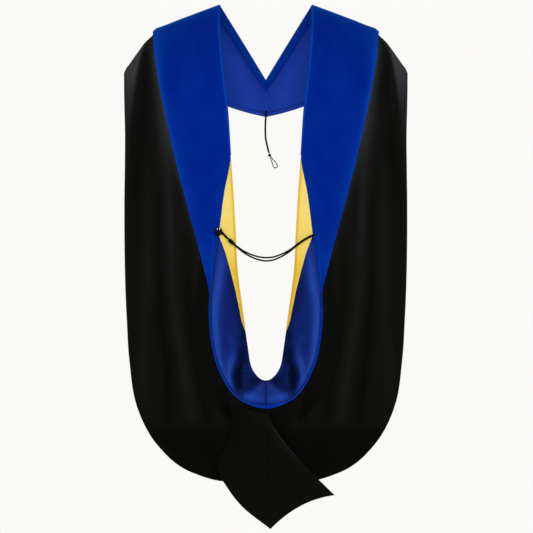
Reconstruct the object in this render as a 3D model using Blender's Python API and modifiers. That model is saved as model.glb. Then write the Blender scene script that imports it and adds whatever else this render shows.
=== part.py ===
"""Doctoral academic hood, kept in the form that it has when it is worn.

Metres, +Z up. The back of the hood faces -Y, and +X is at the right of someone who looks at that back.
The origin lies midway between the two neck peaks, where the hood sits on the neck.
"""
import math
from collections import namedtuple

import bmesh
import bpy
import numpy as np

# Cloth thicknesses and the clearance at a seam between two pieces.
SHELL_THICK = 0.0016
VELVET_THICK = 0.0016
SATIN_THICK = 0.0012
TAIL_THICK = 0.0018
SEAM_GAP = 0.0004

# Heights of the middle of each cloth, measured from the visible face of the velvet along the outward normal.
VELVET_HEIGHT = -VELVET_THICK / 2
LINING_HEIGHT = -0.0012
UNDER_HEIGHT = -0.0032
FACING_HEIGHT = -0.0030
TURN_HEIGHT = -0.0052
WALL_TOP_HEIGHT = -0.0028
WALL_FOOT_HEIGHT = -0.0007
EDGE_INSET, LINING_INSET, RIM_INSET = 0.0006, 0.0016, 0.0010
WALL_CLEAR, PANEL_BLEND = 0.008, 0.030

# The form that the hood lies on: its shoulder line falls from the neck peak to the shoulder and on to the corner
# of the panel, bowed up a little between them, and its plan is a superellipse, deeper at the back than at the front.
PEAK_X = 0.0899
SHOULDER_X, SHOULDER_Z = 0.2184, -0.0593
CORNER_X, CORNER_Z = 0.2747, -0.1331
HALF_WIDTH = 0.2765
Bow = namedtuple("Bow", "x rise")
BOWS = [
    Bow(0.0899, 0.0000),
    Bow(0.1192, 0.0028),
    Bow(0.1702, 0.0070),
    Bow(0.2110, 0.0090),
    Bow(0.2184, 0.0048),
    Bow(0.2376, 0.0072),
    Bow(0.2520, 0.0060),
    Bow(0.2702, 0.0038),
    Bow(0.2747, 0.0000),
]
BOW_REACH = 0.05
PLAN_POWER = 2.4
BACK_DEPTH, BACK_ROUND = 0.135, 0.200
FRONT_DEPTH, FRONT_ROUND = 0.115, 0.260
TUCK_Z, TUCK_SLOPE = -0.805, 0.20

# Back of one side: the edge of the hole, the inner and outer edges of the velvet and the hem of the panel. The
# stations run from the shoulder line down to the middle of the back, and lip is how far the cowl stands off there.
Section = namedtuple("Section", "hole_x hole_z inner_x inner_z outer_x outer_z hem_x hem_z lip")
BACK = [
    Section(0.0899, 0.0000, 0.0899, 0.0000, 0.2184, -0.0593, 0.2747, -0.1331, 0.000),
    Section(0.0885, -0.0547, 0.0885, -0.0547, 0.2148, -0.1011, 0.2736, -0.1862, 0.000),
    Section(0.0818, -0.1331, 0.0818, -0.1331, 0.2028, -0.1700, 0.2716, -0.2544, 0.000),
    Section(0.0728, -0.2098, 0.0728, -0.2098, 0.1885, -0.2376, 0.2720, -0.3182, 0.000),
    Section(0.0670, -0.2958, 0.0670, -0.2958, 0.1709, -0.3144, 0.2730, -0.3897, 0.000),
    Section(0.0617, -0.3721, 0.0802, -0.3721, 0.1493, -0.3968, 0.2728, -0.4670, 0.000),
    Section(0.0573, -0.4485, 0.0894, -0.4485, 0.1272, -0.4771, 0.2711, -0.5444, 0.000),
    Section(0.0540, -0.5153, 0.0992, -0.5153, 0.1102, -0.5439, 0.2679, -0.6119, 0.012),
    Section(0.0441, -0.5916, 0.1046, -0.5914, 0.1100, -0.6066, 0.2627, -0.6888, 0.030),
    Section(0.0349, -0.6584, 0.0963, -0.6634, 0.1005, -0.6710, 0.2482, -0.7754, 0.040),
    Section(0.0280, -0.6985, 0.0774, -0.7183, 0.0803, -0.7240, 0.2066, -0.8527, 0.046),
    Section(0.0149, -0.7195, 0.0470, -0.7576, 0.0504, -0.7607, 0.1337, -0.9061, 0.050),
    Section(0.0000, -0.7264, 0.0000, -0.7694, 0.0000, -0.7779, 0.0000, -0.9215, 0.050),
]

# Front of one side, from the shoulder line to the V: the neck edge, the outer edge of the velvet, the end of the
# panel's wedge over the shoulder, and how far the velvet is turned in over the facing.
FrontSection = namedtuple("FrontSection", "edge_x edge_z outer_x outer_z hem_x hem_z turn")
FRONT = [
    FrontSection(0.0899, 0.0000, 0.2184, -0.0593, 0.2747, -0.1331, 0.006),
    FrontSection(0.0872, -0.0035, 0.2013, -0.1043, 0.2560, -0.1850, 0.012),
    FrontSection(0.0777, -0.0179, 0.1490, -0.1578, 0.1830, -0.2080, 0.018),
    FrontSection(0.0603, -0.0453, 0.0862, -0.1888, 0.0900, -0.1990, 0.022),
    FrontSection(0.0310, -0.0921, 0.0410, -0.2044, 0.0430, -0.2140, 0.023),
    FrontSection(0.0000, -0.1426, 0.0000, -0.2142, 0.0000, -0.2220, 0.020),
]
TURN_FIRST, WEDGE_LAST = 1, 2
TURN_RADIUS = (VELVET_HEIGHT - TURN_HEIGHT) / 2
FACING_INSET = 0.0060

# Where the gold ends between the hole (0) and the velvet or the rim (1), at stations down the back.
GOLD_FIRST, CORD_STATION = 4, 6
GoldWidth = namedtuple("GoldWidth", "station share")
GOLD = [
    GoldWidth(4.00, 1.00),
    GoldWidth(6.00, 1.00),
    GoldWidth(6.50, 0.56),
    GoldWidth(7.00, 0.30),
    GoldWidth(7.50, 0.20),
    GoldWidth(8.00, 0.12),
    GoldWidth(8.40, 0.07),
    GoldWidth(8.70, 0.00),
]

# Hanging folds of the panels: place across the back at three heights, half their width and their rise.
Flute = namedtuple("Flute", "high_x middle_x low_x half rise")
FLUTE_HIGH_Z, FLUTE_MIDDLE_Z, FLUTE_LOW_Z = -0.15, -0.45, -0.80
FLUTES = [
    Flute(0.211, 0.180, 0.160, 0.013, 0.005),
    Flute(0.231, 0.205, 0.194, 0.012, -0.006),
    Flute(0.259, 0.238, 0.236, 0.016, 0.005),
]

# Folds of the satin in the cowl: station, place between seam (0) and rim (1), their spreads and their rise.
LiningFold = namedtuple("LiningFold", "station across station_spread across_spread rise")
LINING_FOLDS = [
    LiningFold(7.9, 0.35, 0.45, 0.30, -0.004),
    LiningFold(9.7, 0.42, 0.55, 0.22, 0.008),
    LiningFold(10.7, 0.45, 0.30, 0.28, -0.014),
    LiningFold(11.5, 0.60, 0.28, 0.30, 0.006),
]

# Width of the cowl's black outer side, from the rim to its foot on the panel.
WALL_FIRST = 6.25
WallWidth = namedtuple("WallWidth", "station width")
WALL = [
    WallWidth(6.25, 0.004),
    WallWidth(6.50, 0.010),
    WallWidth(7.00, 0.020),
    WallWidth(8.00, 0.034),
    WallWidth(9.00, 0.040),
]

# The tail: its left edge, middle and right edge, from below the rim to the end.
TailSection = namedtuple("TailSection", "left_x left_y left_z middle_x middle_y middle_z right_x right_y right_z")
TAIL = [
    TailSection(-0.0553, -0.1753, -0.7696, -0.0262, -0.1909, -0.7831, 0.0055, -0.1916, -0.7869),
    TailSection(-0.0623, -0.1475, -0.8078, -0.0262, -0.1850, -0.8116, 0.0137, -0.1895, -0.8088),
    TailSection(-0.0756, -0.1420, -0.8497, -0.0243, -0.1760, -0.8421, 0.0346, -0.1840, -0.8402),
    TailSection(-0.0918, -0.1420, -0.8909, -0.0167, -0.1700, -0.8782, 0.0574, -0.1780, -0.8678),
    TailSection(-0.0755, -0.1460, -0.9257, 0.0061, -0.1660, -0.9105, 0.0859, -0.1740, -0.9010),
    TailSection(-0.0421, -0.1500, -0.9665, 0.0327, -0.1640, -0.9466, 0.1087, -0.1700, -0.9232),
    TailSection(0.0093, -0.1540, -1.0066, 0.0669, -0.1620, -0.9637, 0.1284, -0.1660, -0.9426),
]

# Button and cords.
BUTTON_AT = (-0.0904, -0.4420)
BUTTON_RADIUS, BUTTON_DOME, BUTTON_FLAT = 0.0075, 0.0036, 0.0016
SHANK_RADIUS, SHANK_LENGTH = 0.0024, 0.0042
CLOSURE_RADIUS, NECK_CORD_RADIUS = 0.0013, 0.0008
SLIDE_AT, SLIDE_DROP = (-0.0660, -0.1369, -0.4613), math.radians(43)
SLIDE_LENGTH, SLIDE_RADIUS = 0.0170, 0.0036
KNOT_AT, KNOT_LENGTH, KNOT_RADIUS = (0.0076, 0.1098, -0.2897), 0.0072, 0.0034
TACK_AT, TACK_SIZE = (0.0004, 0.1091, -0.2060), (0.0046, 0.0034, 0.0084)

# Routes of the cords, points chosen along each strand.
CLOSURE_UPPER = [
    (-0.0589, -0.1384, -0.4679), (-0.0470, -0.1386, -0.4762), (-0.0250, -0.1388, -0.4868), (0.0012, -0.1388, -0.4916),
    (0.0260, -0.1388, -0.4866), (0.0475, -0.1385, -0.4762), (0.0600, -0.1379, -0.4670), (0.0760, -0.1369, -0.4562),
    (0.0925, -0.1355, -0.4476),
]
CLOSURE_LOWER = [
    (-0.0589, -0.1354, -0.4679), (-0.0470, -0.1356, -0.4782), (-0.0250, -0.1358, -0.4910), (0.0012, -0.1358, -0.4978),
    (0.0260, -0.1358, -0.4914), (0.0475, -0.1355, -0.4780), (0.0600, -0.1349, -0.4674), (0.0760, -0.1339, -0.4564),
    (0.0925, -0.1325, -0.4476),
]
CLOSURE_LOOP = [
    (-0.0729, -0.1384, -0.4548), (-0.0775, -0.1368, -0.4500), (-0.0822, -0.1346, -0.4448), (-0.0866, -0.1335, -0.4402),
    (-0.0904, -0.1333, -0.4377), (-0.0943, -0.1333, -0.4403), (-0.0957, -0.1333, -0.4448), (-0.0940, -0.1333, -0.4487),
    (-0.0903, -0.1334, -0.4502), (-0.0866, -0.1337, -0.4496), (-0.0828, -0.1341, -0.4484), (-0.0779, -0.1347, -0.4522),
    (-0.0729, -0.1354, -0.4548),
]
NECK_STRANDS = [
    (0.0004, 0.1094, -0.2108), (-0.0006, 0.1098, -0.2240), (-0.0010, 0.1098, -0.2400), (-0.0002, 0.1098, -0.2570),
    (0.0028, 0.1098, -0.2715), (0.0062, 0.1098, -0.2853),
]
NECK_STRAND_SPREAD = 0.00095
NECK_LOOP = [
    (0.0083, 0.1098, -0.2936), (0.0104, 0.1098, -0.2985), (0.0128, 0.1098, -0.3050), (0.0146, 0.1098, -0.3115),
    (0.0180, 0.1098, -0.3146), (0.0220, 0.1098, -0.3130), (0.0222, 0.1098, -0.3082), (0.0180, 0.1098, -0.3020),
    (0.0136, 0.1098, -0.2972), (0.0101, 0.1098, -0.2930),
]

# How finely the cloth is divided.
SHELL_COLUMNS = {"under lining": 2, "panel": 7}
VELVET_COLUMNS, GOLD_COLUMNS, LINING_COLUMNS = 4, 2, 6
WALL_COLUMNS, TAIL_COLUMNS, TAIL_STEPS = 5, 8, 2
RIDGE_STEPS, TURN_ARC_STEPS = 4, 3

COLORS = {
    "black shell cloth": ((0.010, 0.010, 0.011), 0.62, 0.0),
    "blue velvet": ((0.004, 0.020, 0.240), 0.90, 0.0),
    "blue satin": ((0.020, 0.060, 0.330), 0.35, 0.0),
    "gold satin": ((0.860, 0.600, 0.110), 0.35, 0.0),
    "black cord": ((0.008, 0.008, 0.009), 0.45, 0.0),
    "black button": ((0.006, 0.006, 0.007), 0.18, 0.0),
}


def clear_scene():
    for thing in list(bpy.data.objects):
        bpy.data.objects.remove(thing, do_unlink=True)


def make_material(name):
    color, roughness, metallic = COLORS[name]
    material = bpy.data.materials.get(name) or bpy.data.materials.new(name)
    material.use_nodes = True
    shader = material.node_tree.nodes["Principled BSDF"]
    shader.inputs["Base Color"].default_value = (*color, 1.0)
    shader.inputs["Roughness"].default_value = roughness
    shader.inputs["Metallic"].default_value = metallic
    material.diffuse_color = (*color, 1.0)
    return material


def add_object(name, data, material):
    thing = bpy.data.objects.new(name, data)
    thing.data.materials.append(make_material(material))
    bpy.data.collections["academic_hood"].objects.link(thing)
    return thing


# The form under the cloth.
def ridge(x):
    """Height of the shoulder line at x."""
    slope = SHOULDER_Z / (SHOULDER_X - PEAK_X)
    return np.interp(x, (0.0, SHOULDER_X, CORNER_X), (-slope * PEAK_X, SHOULDER_Z, CORNER_Z))


def bow(x):
    """How far the shoulder line is bowed up at x."""
    return np.interp(abs(x), [row.x for row in BOWS], [row.rise for row in BOWS])


def plan_depth(x, front):
    """Depth of the form at x, well below the shoulder line."""
    deepest = FRONT_DEPTH if front else BACK_DEPTH
    across = min(abs(x) / HALF_WIDTH, 0.999)
    return deepest * (1 - across**PLAN_POWER) ** (1 / PLAN_POWER)


def roundness(x, z, front):
    """1 on the shoulder line, falling to 0 where the form stands upright."""
    reach = FRONT_ROUND if front else BACK_ROUND
    return min(max(1 - (ridge(x) - z) / reach, 0.0), 1.0)


def form_y(x, z, front):
    depth = plan_depth(x, front) * math.sqrt(1 - roundness(x, z, front) ** 2)
    return depth if front else -depth


def form_normal(x, z, front):
    """Outward direction of the form, from the slope of its implicit equation."""
    y = form_y(x, z, front)
    step = 1e-4

    def level(at_x, at_z):
        return (y / plan_depth(at_x, front)) ** 2 + roundness(at_x, at_z, front) ** 2

    along_x = (level(x + step, z) - level(x - step, z)) / (2 * step)
    along_z = (level(x, z + step) - level(x, z - step)) / (2 * step)
    along_y = 2 * y / plan_depth(x, front) ** 2
    if roundness(x, z, front) == 1.0:
        along_x, along_y, along_z = -(ridge(x + step) - ridge(x - step)) / (2 * step), 0.0, 1.0
    direction = np.array((along_x, along_y, along_z))
    return direction / np.linalg.norm(direction)


def place(x, z, height, lift=0.0, front=False):
    """Point of a cloth over (x, z), at a height along the normal and lifted off the form towards the viewer."""
    point = np.array((x, form_y(x, z, front), z)) + form_normal(x, z, front) * height
    point[1] += lift if front else -lift
    point[2] += bow(x) * math.exp(-(((ridge(x) - z) / BOW_REACH) ** 2))
    return point


def smooth_step(value):
    value = min(max(value, 0.0), 1.0)
    return value * value * (3 - 2 * value)


# Curves through the tables.
def read(rows, station, closing=None):
    """Smooth curve through the rows of a table, read at a station; closing is the row past the last one."""
    table = [np.array(row, dtype=float) for row in rows]
    low = min(int(station), len(table) - 2)
    share = station - low
    start, end = table[low], table[low + 1]
    before = table[low - 1] if low > 0 else 2 * start - end
    if low + 2 < len(table):
        after = table[low + 2]
    else:
        after = 2 * end - start if closing is None else closing
    leave, arrive = (end - before) / 2, (after - start) / 2
    value = (
        (2 * share**3 - 3 * share**2 + 1) * start
        + (share**3 - 2 * share**2 + share) * leave
        + (3 * share**2 - 2 * share**3) * end
        + (share**3 - share**2) * arrive
    )
    return type(rows[0])(*value)


def back_section(station):
    """Section of the back at a station; across the middle line it goes on as its own mirror image."""
    beyond = np.array(BACK[-2], dtype=float) * (-1, 1, -1, 1, -1, 1, -1, 1, 1)
    section = read(BACK, station, beyond)
    if station <= GOLD_FIRST:
        section = section._replace(inner_x=section.hole_x, inner_z=section.hole_z)
    return section._replace(lip=max(section.lip, 0.0) if station > CORD_STATION else 0.0)


def gold_share(station):
    return np.interp(station, [row.station for row in GOLD], [row.share for row in GOLD])


def between(start, end, share):
    return (start[0] + (end[0] - start[0]) * share, start[1] + (end[1] - start[1]) * share)


def shorten(start, end, at_start, at_end):
    """The stretch from start to end, cut back at both ends by the given lengths."""
    length = math.dist(start, end)
    return between(start, end, at_start / length), between(start, end, 1 - at_end / length)


def off_middle(point):
    """Keeps half a seam's clearance to the middle line."""
    return (max(point[0], SEAM_GAP / 2), point[1])


def back_stations(first, last):
    """Stations down the back: close together on the shoulder, and again round the bottom of the cowl."""
    shoulder = [(step / RIDGE_STEPS) ** 2 for step in range(RIDGE_STEPS + 1)]
    sides = list(np.arange(1.5, 9.01, 0.5))
    bottom = list(np.arange(9.25, 12.01, 0.25))
    inside = [station for station in shoulder + sides + bottom if first < station < last]
    return [first] + inside + [last]


def front_stations(first, last):
    """Stations of the front, from the shoulder line to the V."""
    shoulder = [(step / RIDGE_STEPS) ** 2 for step in range(RIDGE_STEPS + 1)]
    inside = [station for station in shoulder + list(np.arange(1.5, 5.01, 0.5)) if first < station < last]
    return [first] + inside + [last]


# Cloth from rows of points.
def cloth(name, patches, thickness, material, side=1, even=True):
    """A sheet from patches, each a list of rows of points that face the viewer when read down and outwards."""
    mesh = bmesh.new()
    corners = {}

    def corner(point):
        key = tuple(round(value, 6) for value in point)
        if key not in corners:
            corners[key] = mesh.verts.new((side * point[0], point[1], point[2]))
        return corners[key]

    for rows in patches:
        for upper, lower in zip(rows, rows[1:]):
            for index in range(len(upper) - 1):
                ring = (upper[index], lower[index], lower[index + 1], upper[index + 1])
                face = [corner(point) for point in ring]
                mesh.faces.new(face if side > 0 else face[::-1])
    data = bpy.data.meshes.new(name)
    mesh.to_mesh(data)
    mesh.free()
    data.shade_smooth()
    thing = add_object(name, data, material)
    solid = thing.modifiers.new("thickness", "SOLIDIFY")
    solid.thickness = thickness
    solid.offset = 0.0
    solid.use_even_offset = even
    return thing


def wall_width(station):
    return np.interp(station, [row.station for row in WALL], [row.width for row in WALL])


def panel_start(station):
    """How far from the velvet a panel begins to rise out of the layer below."""
    return wall_width(station) + WALL_CLEAR if station > CORD_STATION else 0.0


def panel_rise(x, z):
    """How far a panel's hanging folds stand out at (x, z)."""
    rise = 0.0
    heights = (FLUTE_LOW_Z, FLUTE_MIDDLE_Z, FLUTE_HIGH_Z)
    for flute in FLUTES:
        middle = np.interp(z, heights, (flute.low_x, flute.middle_x, flute.high_x))
        rise += flute.rise * math.exp(-(((x - middle) / flute.half) ** 2))
    return rise * smooth_step((SHOULDER_Z - z) / 0.12)


def shell_point(outer, hem, across, start, front):
    """Point of a panel, from the velvet's edge (0) to the hem (1)."""
    x, z = between(outer, hem, across)
    x = max(x, SEAM_GAP / 2)
    risen = smooth_step((math.dist(outer, hem) * across - start) / PANEL_BLEND)
    height = UNDER_HEIGHT + (-SHELL_THICK / 2 - UNDER_HEIGHT) * risen
    point = place(x, z, height, 0.0 if front else panel_rise(x, z) * risen, front)
    if not front:
        point[1] += TUCK_SLOPE * max(TUCK_Z - z, 0.0)
    return point


def shell_back_row(station):
    section = back_section(station)
    hole, inner = (section.hole_x, section.hole_z), (section.inner_x, section.inner_z)
    outer, hem = (section.outer_x, section.outer_z), (section.hem_x, section.hem_z)
    first = between(hole, outer, EDGE_INSET / math.dist(hole, outer))
    under_lining, under_velvet = SHELL_COLUMNS["under lining"], VELVET_COLUMNS - 1
    gold = min(max((station - GOLD_FIRST) / (CORD_STATION - GOLD_FIRST), 0.0), 1.0)
    middle = between(between(hole, outer, 1 / VELVET_COLUMNS), inner, gold)
    row = [between(first, middle, step / under_lining) for step in range(under_lining)]
    row += [between(middle, outer, step / under_velvet) for step in range(under_velvet)]
    points = [place(*off_middle(point), UNDER_HEIGHT) for point in row]
    columns = SHELL_COLUMNS["panel"]
    start = panel_start(station)
    return points + [shell_point(outer, hem, step / columns, start, False) for step in range(columns + 1)]


def shell_wedge_row(station):
    section = read(FRONT, station)
    outer, hem = (section.outer_x, section.outer_z), (section.hem_x, section.hem_z)
    columns = SHELL_COLUMNS["panel"]
    return [shell_point(outer, hem, step / columns, 0.0, station > 0) for step in range(columns + 1)]


def make_shell(name, side):
    back = [shell_back_row(station) for station in back_stations(0, len(BACK) - 1)]
    wedge = [shell_wedge_row(station) for station in front_stations(0, WEDGE_LAST)]
    wedge[0] = back[0][-len(wedge[0]):]
    return cloth(name, [back, wedge[::-1]], SHELL_THICK, "black shell cloth", side)


def velvet_back_row(station):
    section = back_section(station)
    inner, outer = (section.inner_x, section.inner_z), (section.outer_x, section.outer_z)
    if station > GOLD_FIRST:
        inner, outer = shorten(inner, outer, SEAM_GAP / 2, 0.0)
    row = [between(inner, outer, step / VELVET_COLUMNS) for step in range(VELVET_COLUMNS + 1)]
    return [place(*off_middle(point), VELVET_HEIGHT, section.lip) for point in row]


def front_row(station):
    """Points across the front at a station: the neck edge, the turned-in end and on to the outer edge."""
    section = read(FRONT, station)
    edge, outer = off_middle((section.edge_x, section.edge_z)), off_middle((section.outer_x, section.outer_z))
    turned = section.turn / math.dist(edge, outer)
    turned += (1 / VELVET_COLUMNS - turned) * max(1 - station, 0.0)
    shares = [0.0] + list(np.linspace(turned, 1.0, VELVET_COLUMNS))
    return [between(edge, outer, share) for share in shares]


def velvet_front_row(station):
    """Front row of the velvet: from the turned-in end round the neck edge to the outer edge."""
    row = front_row(station)
    if station < TURN_FIRST:
        return [place(*point, VELVET_HEIGHT, 0.0, station > 0) for point in row]
    edge, outer = row[0], row[-1]
    start = between(edge, outer, TURN_RADIUS / math.dist(edge, outer))
    face = [place(*point, VELVET_HEIGHT, 0.0, True) for point in [start] + row[1:]]
    turned = [place(*point, TURN_HEIGHT, 0.0, True) for point in (row[1], between(start, row[1], 0.5))]
    normal = form_normal(*start, True)
    centre = place(*start, (VELVET_HEIGHT + TURN_HEIGHT) / 2, 0.0, True)
    inward = face[1] - face[0]
    inward /= np.linalg.norm(inward)
    arc = []
    for step in range(TURN_ARC_STEPS, 0, -1):
        angle = math.pi * step / TURN_ARC_STEPS
        arc.append(centre + TURN_RADIUS * (normal * math.cos(angle) - inward * math.sin(angle)))
    for point in turned + arc:
        point[0] = max(point[0], TURN_RADIUS)
    return turned + arc + face


def make_velvet(name, side):
    back = [velvet_back_row(station) for station in back_stations(0, len(BACK) - 1)]
    front = [velvet_front_row(station) for station in front_stations(0, len(FRONT) - 1)]
    front[0] = back[0]
    band = [row[-(VELVET_COLUMNS + 1):] for row in front]
    turned = [row[: -VELVET_COLUMNS] for row in front if len(row) > VELVET_COLUMNS + 1]
    return cloth(name, [back, band[::-1], turned[::-1]], VELVET_THICK, "blue velvet", side, even=False)


def make_facing(name, side):
    rows = []
    for station in front_stations(0.05, len(FRONT) - 1):
        row = front_row(station)
        row[0], row[-1] = shorten(row[0], row[-1], FACING_INSET, 2 * EDGE_INSET)
        rows.append([place(*off_middle(point), FACING_HEIGHT, 0.0, True) for point in row])
    return cloth(name, [rows[::-1]], SATIN_THICK, "blue satin", side)


def make_gold(name, side):
    rows = []
    for station in back_stations(GOLD_FIRST + 0.12, GOLD[-1].station - 0.2):
        section = back_section(station)
        hole, inner = (section.hole_x, section.hole_z), (section.inner_x, section.inner_z)
        seam = between(hole, inner, gold_share(station))
        hole, seam = shorten(hole, seam, 0.0, SEAM_GAP / 2)
        row = [between(hole, seam, step / GOLD_COLUMNS) for step in range(GOLD_COLUMNS + 1)]
        rows.append([place(*point, LINING_HEIGHT) for point in row])
    return cloth(name, [rows], SATIN_THICK, "gold satin", side)


def lining_lift(station, across, lip):
    """How far the satin stands off the form: a roll up to the rim, with its folds."""
    lift = lip * math.sin(across * math.pi / 2)
    fade = math.sin(across * math.pi) ** 0.7 if 0 < across < 1 else 0.0
    for fold in LINING_FOLDS:
        along = (station - fold.station) / fold.station_spread
        over = (across - fold.across) / fold.across_spread
        lift += fold.rise * fade * math.exp(-(along**2) - over**2)
    return max(lift, 0.0)


def make_lining(name, side):
    rows = []
    for station in back_stations(CORD_STATION + 0.18, len(BACK) - 1):
        section = back_section(station)
        hole, rim = (section.hole_x, section.hole_z), (section.inner_x, section.inner_z)
        share = gold_share(station)
        seam, rim = shorten(between(hole, rim, share), rim, LINING_INSET if share else 0.0, RIM_INSET)
        row = []
        for step in range(LINING_COLUMNS + 1):
            across = step / LINING_COLUMNS
            point = off_middle(between(seam, rim, across))
            row.append(place(*point, LINING_HEIGHT, lining_lift(station, across, section.lip)))
        rows.append(row)
    return cloth(name, [rows], SATIN_THICK, "blue satin", side)


def wall_row(station):
    """Row of the cowl's outer side: from under the velvet rim, rolling down to its foot on the panel."""
    section = back_section(station)
    step = 0.02
    nearby = back_section(station - step)
    run = np.array((section.outer_x - nearby.outer_x, section.outer_z - nearby.outer_z))
    run /= np.linalg.norm(run)
    outward = (-run[1], run[0])
    width = wall_width(station)
    row = []
    for column in range(WALL_COLUMNS + 1):
        across = column / WALL_COLUMNS
        reach = -2 * EDGE_INSET + (width + 2 * EDGE_INSET) * across
        fallen = (1 - math.cos(math.pi * across)) / 2
        height = WALL_TOP_HEIGHT + (WALL_FOOT_HEIGHT - WALL_TOP_HEIGHT) * fallen
        x = max(section.outer_x + outward[0] * reach, 0.0)
        z = section.outer_z + outward[1] * reach
        row.append(place(x, z, height, section.lip * (1 - fallen)))
    return row


def make_cowl_wall():
    right = [wall_row(station) for station in back_stations(WALL_FIRST, len(BACK) - 1)]
    left = [[point * (-1, 1, 1) for point in row] for row in right[-2::-1]]
    return cloth("cowl_wall", [right + left], SHELL_THICK, "black shell cloth")


def make_tail():
    rows = []
    for step in range((len(TAIL) - 1) * TAIL_STEPS + 1):
        section = read(TAIL, step / TAIL_STEPS)
        left = np.array((section.left_x, section.left_y, section.left_z))
        middle = np.array((section.middle_x, section.middle_y, section.middle_z))
        right = np.array((section.right_x, section.right_y, section.right_z))
        row = []
        for column in range(TAIL_COLUMNS + 1):
            across = column / TAIL_COLUMNS
            toward_left = (1 - across) * (1 - 2 * across)
            toward_right = across * (2 * across - 1)
            row.append(left * toward_left + middle * 4 * across * (1 - across) + right * toward_right)
        rows.append(row)
    return cloth("tail", [rows], TAIL_THICK, "black shell cloth")


# Button, knots and cords.
def make_button():
    """Domed button with its shank, turned about the axis that points at the viewer."""
    x, z = BUTTON_AT
    seat = place(abs(x), z, 0.0)[1] - 0.0003
    profile = [(0.0, 0.0), (SHANK_RADIUS, 0.0), (SHANK_RADIUS, SHANK_LENGTH)]
    for step in range(4):
        angle = -math.pi / 2 + math.pi / 2 * step / 3
        profile.append((BUTTON_RADIUS - BUTTON_FLAT + BUTTON_FLAT * math.cos(angle),
                        SHANK_LENGTH + BUTTON_FLAT + BUTTON_FLAT * math.sin(angle)))
    for step in range(1, 5):
        angle = math.pi / 2 * step / 4
        profile.append((BUTTON_RADIUS * math.cos(angle), SHANK_LENGTH + BUTTON_FLAT + BUTTON_DOME * math.sin(angle)))
    mesh = bmesh.new()
    points = [mesh.verts.new((max(radius, 0.0), 0.0, out)) for radius, out in profile]
    points[-1].co.x = 0.0
    edges = [mesh.edges.new(pair) for pair in zip(points, points[1:])]
    bmesh.ops.spin(
        mesh, geom=points + edges, cent=(0, 0, 0), axis=(0, 0, 1), angle=2 * math.pi, steps=16, use_merge=True
    )
    bmesh.ops.remove_doubles(mesh, verts=mesh.verts, dist=1e-6)
    bmesh.ops.recalc_face_normals(mesh, faces=mesh.faces)
    data = bpy.data.meshes.new("button")
    mesh.to_mesh(data)
    mesh.free()
    data.shade_smooth()
    thing = add_object("button", data, "black button")
    thing.location = (x, seat, z)
    thing.rotation_euler = (math.pi / 2, 0, 0)
    return thing


def make_knot(name, at, length, radius, drop):
    """Rounded knot, long along a line in the plane of the back that falls by the angle drop."""
    mesh = bmesh.new()
    bmesh.ops.create_uvsphere(mesh, u_segments=10, v_segments=8, radius=1.0)
    data = bpy.data.meshes.new(name)
    mesh.to_mesh(data)
    mesh.free()
    data.shade_smooth()
    thing = add_object(name, data, "black cord")
    thing.scale = (radius, radius, length / 2)
    thing.rotation_euler = (0, math.pi / 2 + drop, 0)
    thing.location = at
    return thing


def make_cord(name, route, radius, spacing=3.0):
    """Tube along a smooth curve through a route's points; spacing is in diameters."""
    rows = [namedtuple("Point", "x y z")(*point) for point in route]
    fine = [np.array(read(rows, step / 20)) for step in range((len(rows) - 1) * 20 + 1)]
    lengths = np.concatenate(([0.0], np.cumsum([math.dist(a, b) for a, b in zip(fine, fine[1:])])))
    count = max(int(lengths[-1] / (spacing * 2 * radius)), 4)
    places = [np.interp(lengths[-1] * step / count, lengths, range(len(fine))) for step in range(count + 1)]
    curve = bpy.data.curves.new(name, "CURVE")
    curve.dimensions = "3D"
    curve.bevel_depth = radius
    curve.bevel_resolution = 2
    curve.use_fill_caps = True
    spline = curve.splines.new("POLY")
    spline.points.add(count)
    for point, at in zip(spline.points, places):
        low = min(int(at), len(fine) - 2)
        where = fine[low] + (fine[low + 1] - fine[low]) * (at - low)
        point.co = (*where, 1.0)
    return add_object(name, curve, "black cord")


def make_closure():
    make_button()
    make_cord("closure_upper", CLOSURE_UPPER, CLOSURE_RADIUS)
    make_cord("closure_lower", CLOSURE_LOWER, CLOSURE_RADIUS)
    make_cord("closure_loop", CLOSURE_LOOP, CLOSURE_RADIUS, 0.8)
    make_knot("closure_slide", SLIDE_AT, SLIDE_LENGTH, SLIDE_RADIUS, SLIDE_DROP)


def make_neck_cord():
    for name, offset in (("neck_strand_left", -NECK_STRAND_SPREAD), ("neck_strand_right", NECK_STRAND_SPREAD)):
        route = [(x + offset, y, z) for x, y, z in NECK_STRANDS]
        make_cord(name, route, NECK_CORD_RADIUS)
    make_knot("neck_knot", KNOT_AT, KNOT_LENGTH, KNOT_RADIUS, math.radians(65))
    make_cord("neck_loop", NECK_LOOP, NECK_CORD_RADIUS, 1.5)
    mesh = bmesh.new()
    bmesh.ops.create_cube(mesh, size=1.0)
    data = bpy.data.meshes.new("neck_tack")
    mesh.to_mesh(data)
    mesh.free()
    tack = add_object("neck_tack", data, "black cord")
    tack.scale = TACK_SIZE
    tack.location = TACK_AT


def main():
    clear_scene()
    hood = bpy.data.collections.new("academic_hood")
    bpy.context.scene.collection.children.link(hood)
    for name, side in (("left", -1), ("right", 1)):
        make_shell(f"shell_{name}", side)
        make_velvet(f"velvet_{name}", side)
        make_facing(f"facing_{name}", side)
        make_gold(f"gold_{name}", side)
        make_lining(f"lining_{name}", side)
    make_cowl_wall()
    make_tail()
    make_closure()
    make_neck_cord()


main()
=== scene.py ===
# %% [markdown]
# # A doctoral hood, dressed
#
# An academic hood is a long cape of black cloth that hangs down the back. A broad velvet band goes round
# its opening, and the satin lining is turned out so that its colours show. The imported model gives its
# size and place. This script makes the cloth, the cords and the light around that model, all in metres.
#
# Every cloth is a grid of points on one smooth form, the shape that the hood takes over a wearer's
# shoulders. That way was chosen over one big simulated sheet, because the pieces stay sewn together where
# they should.

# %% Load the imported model
import math
from collections import namedtuple

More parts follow.
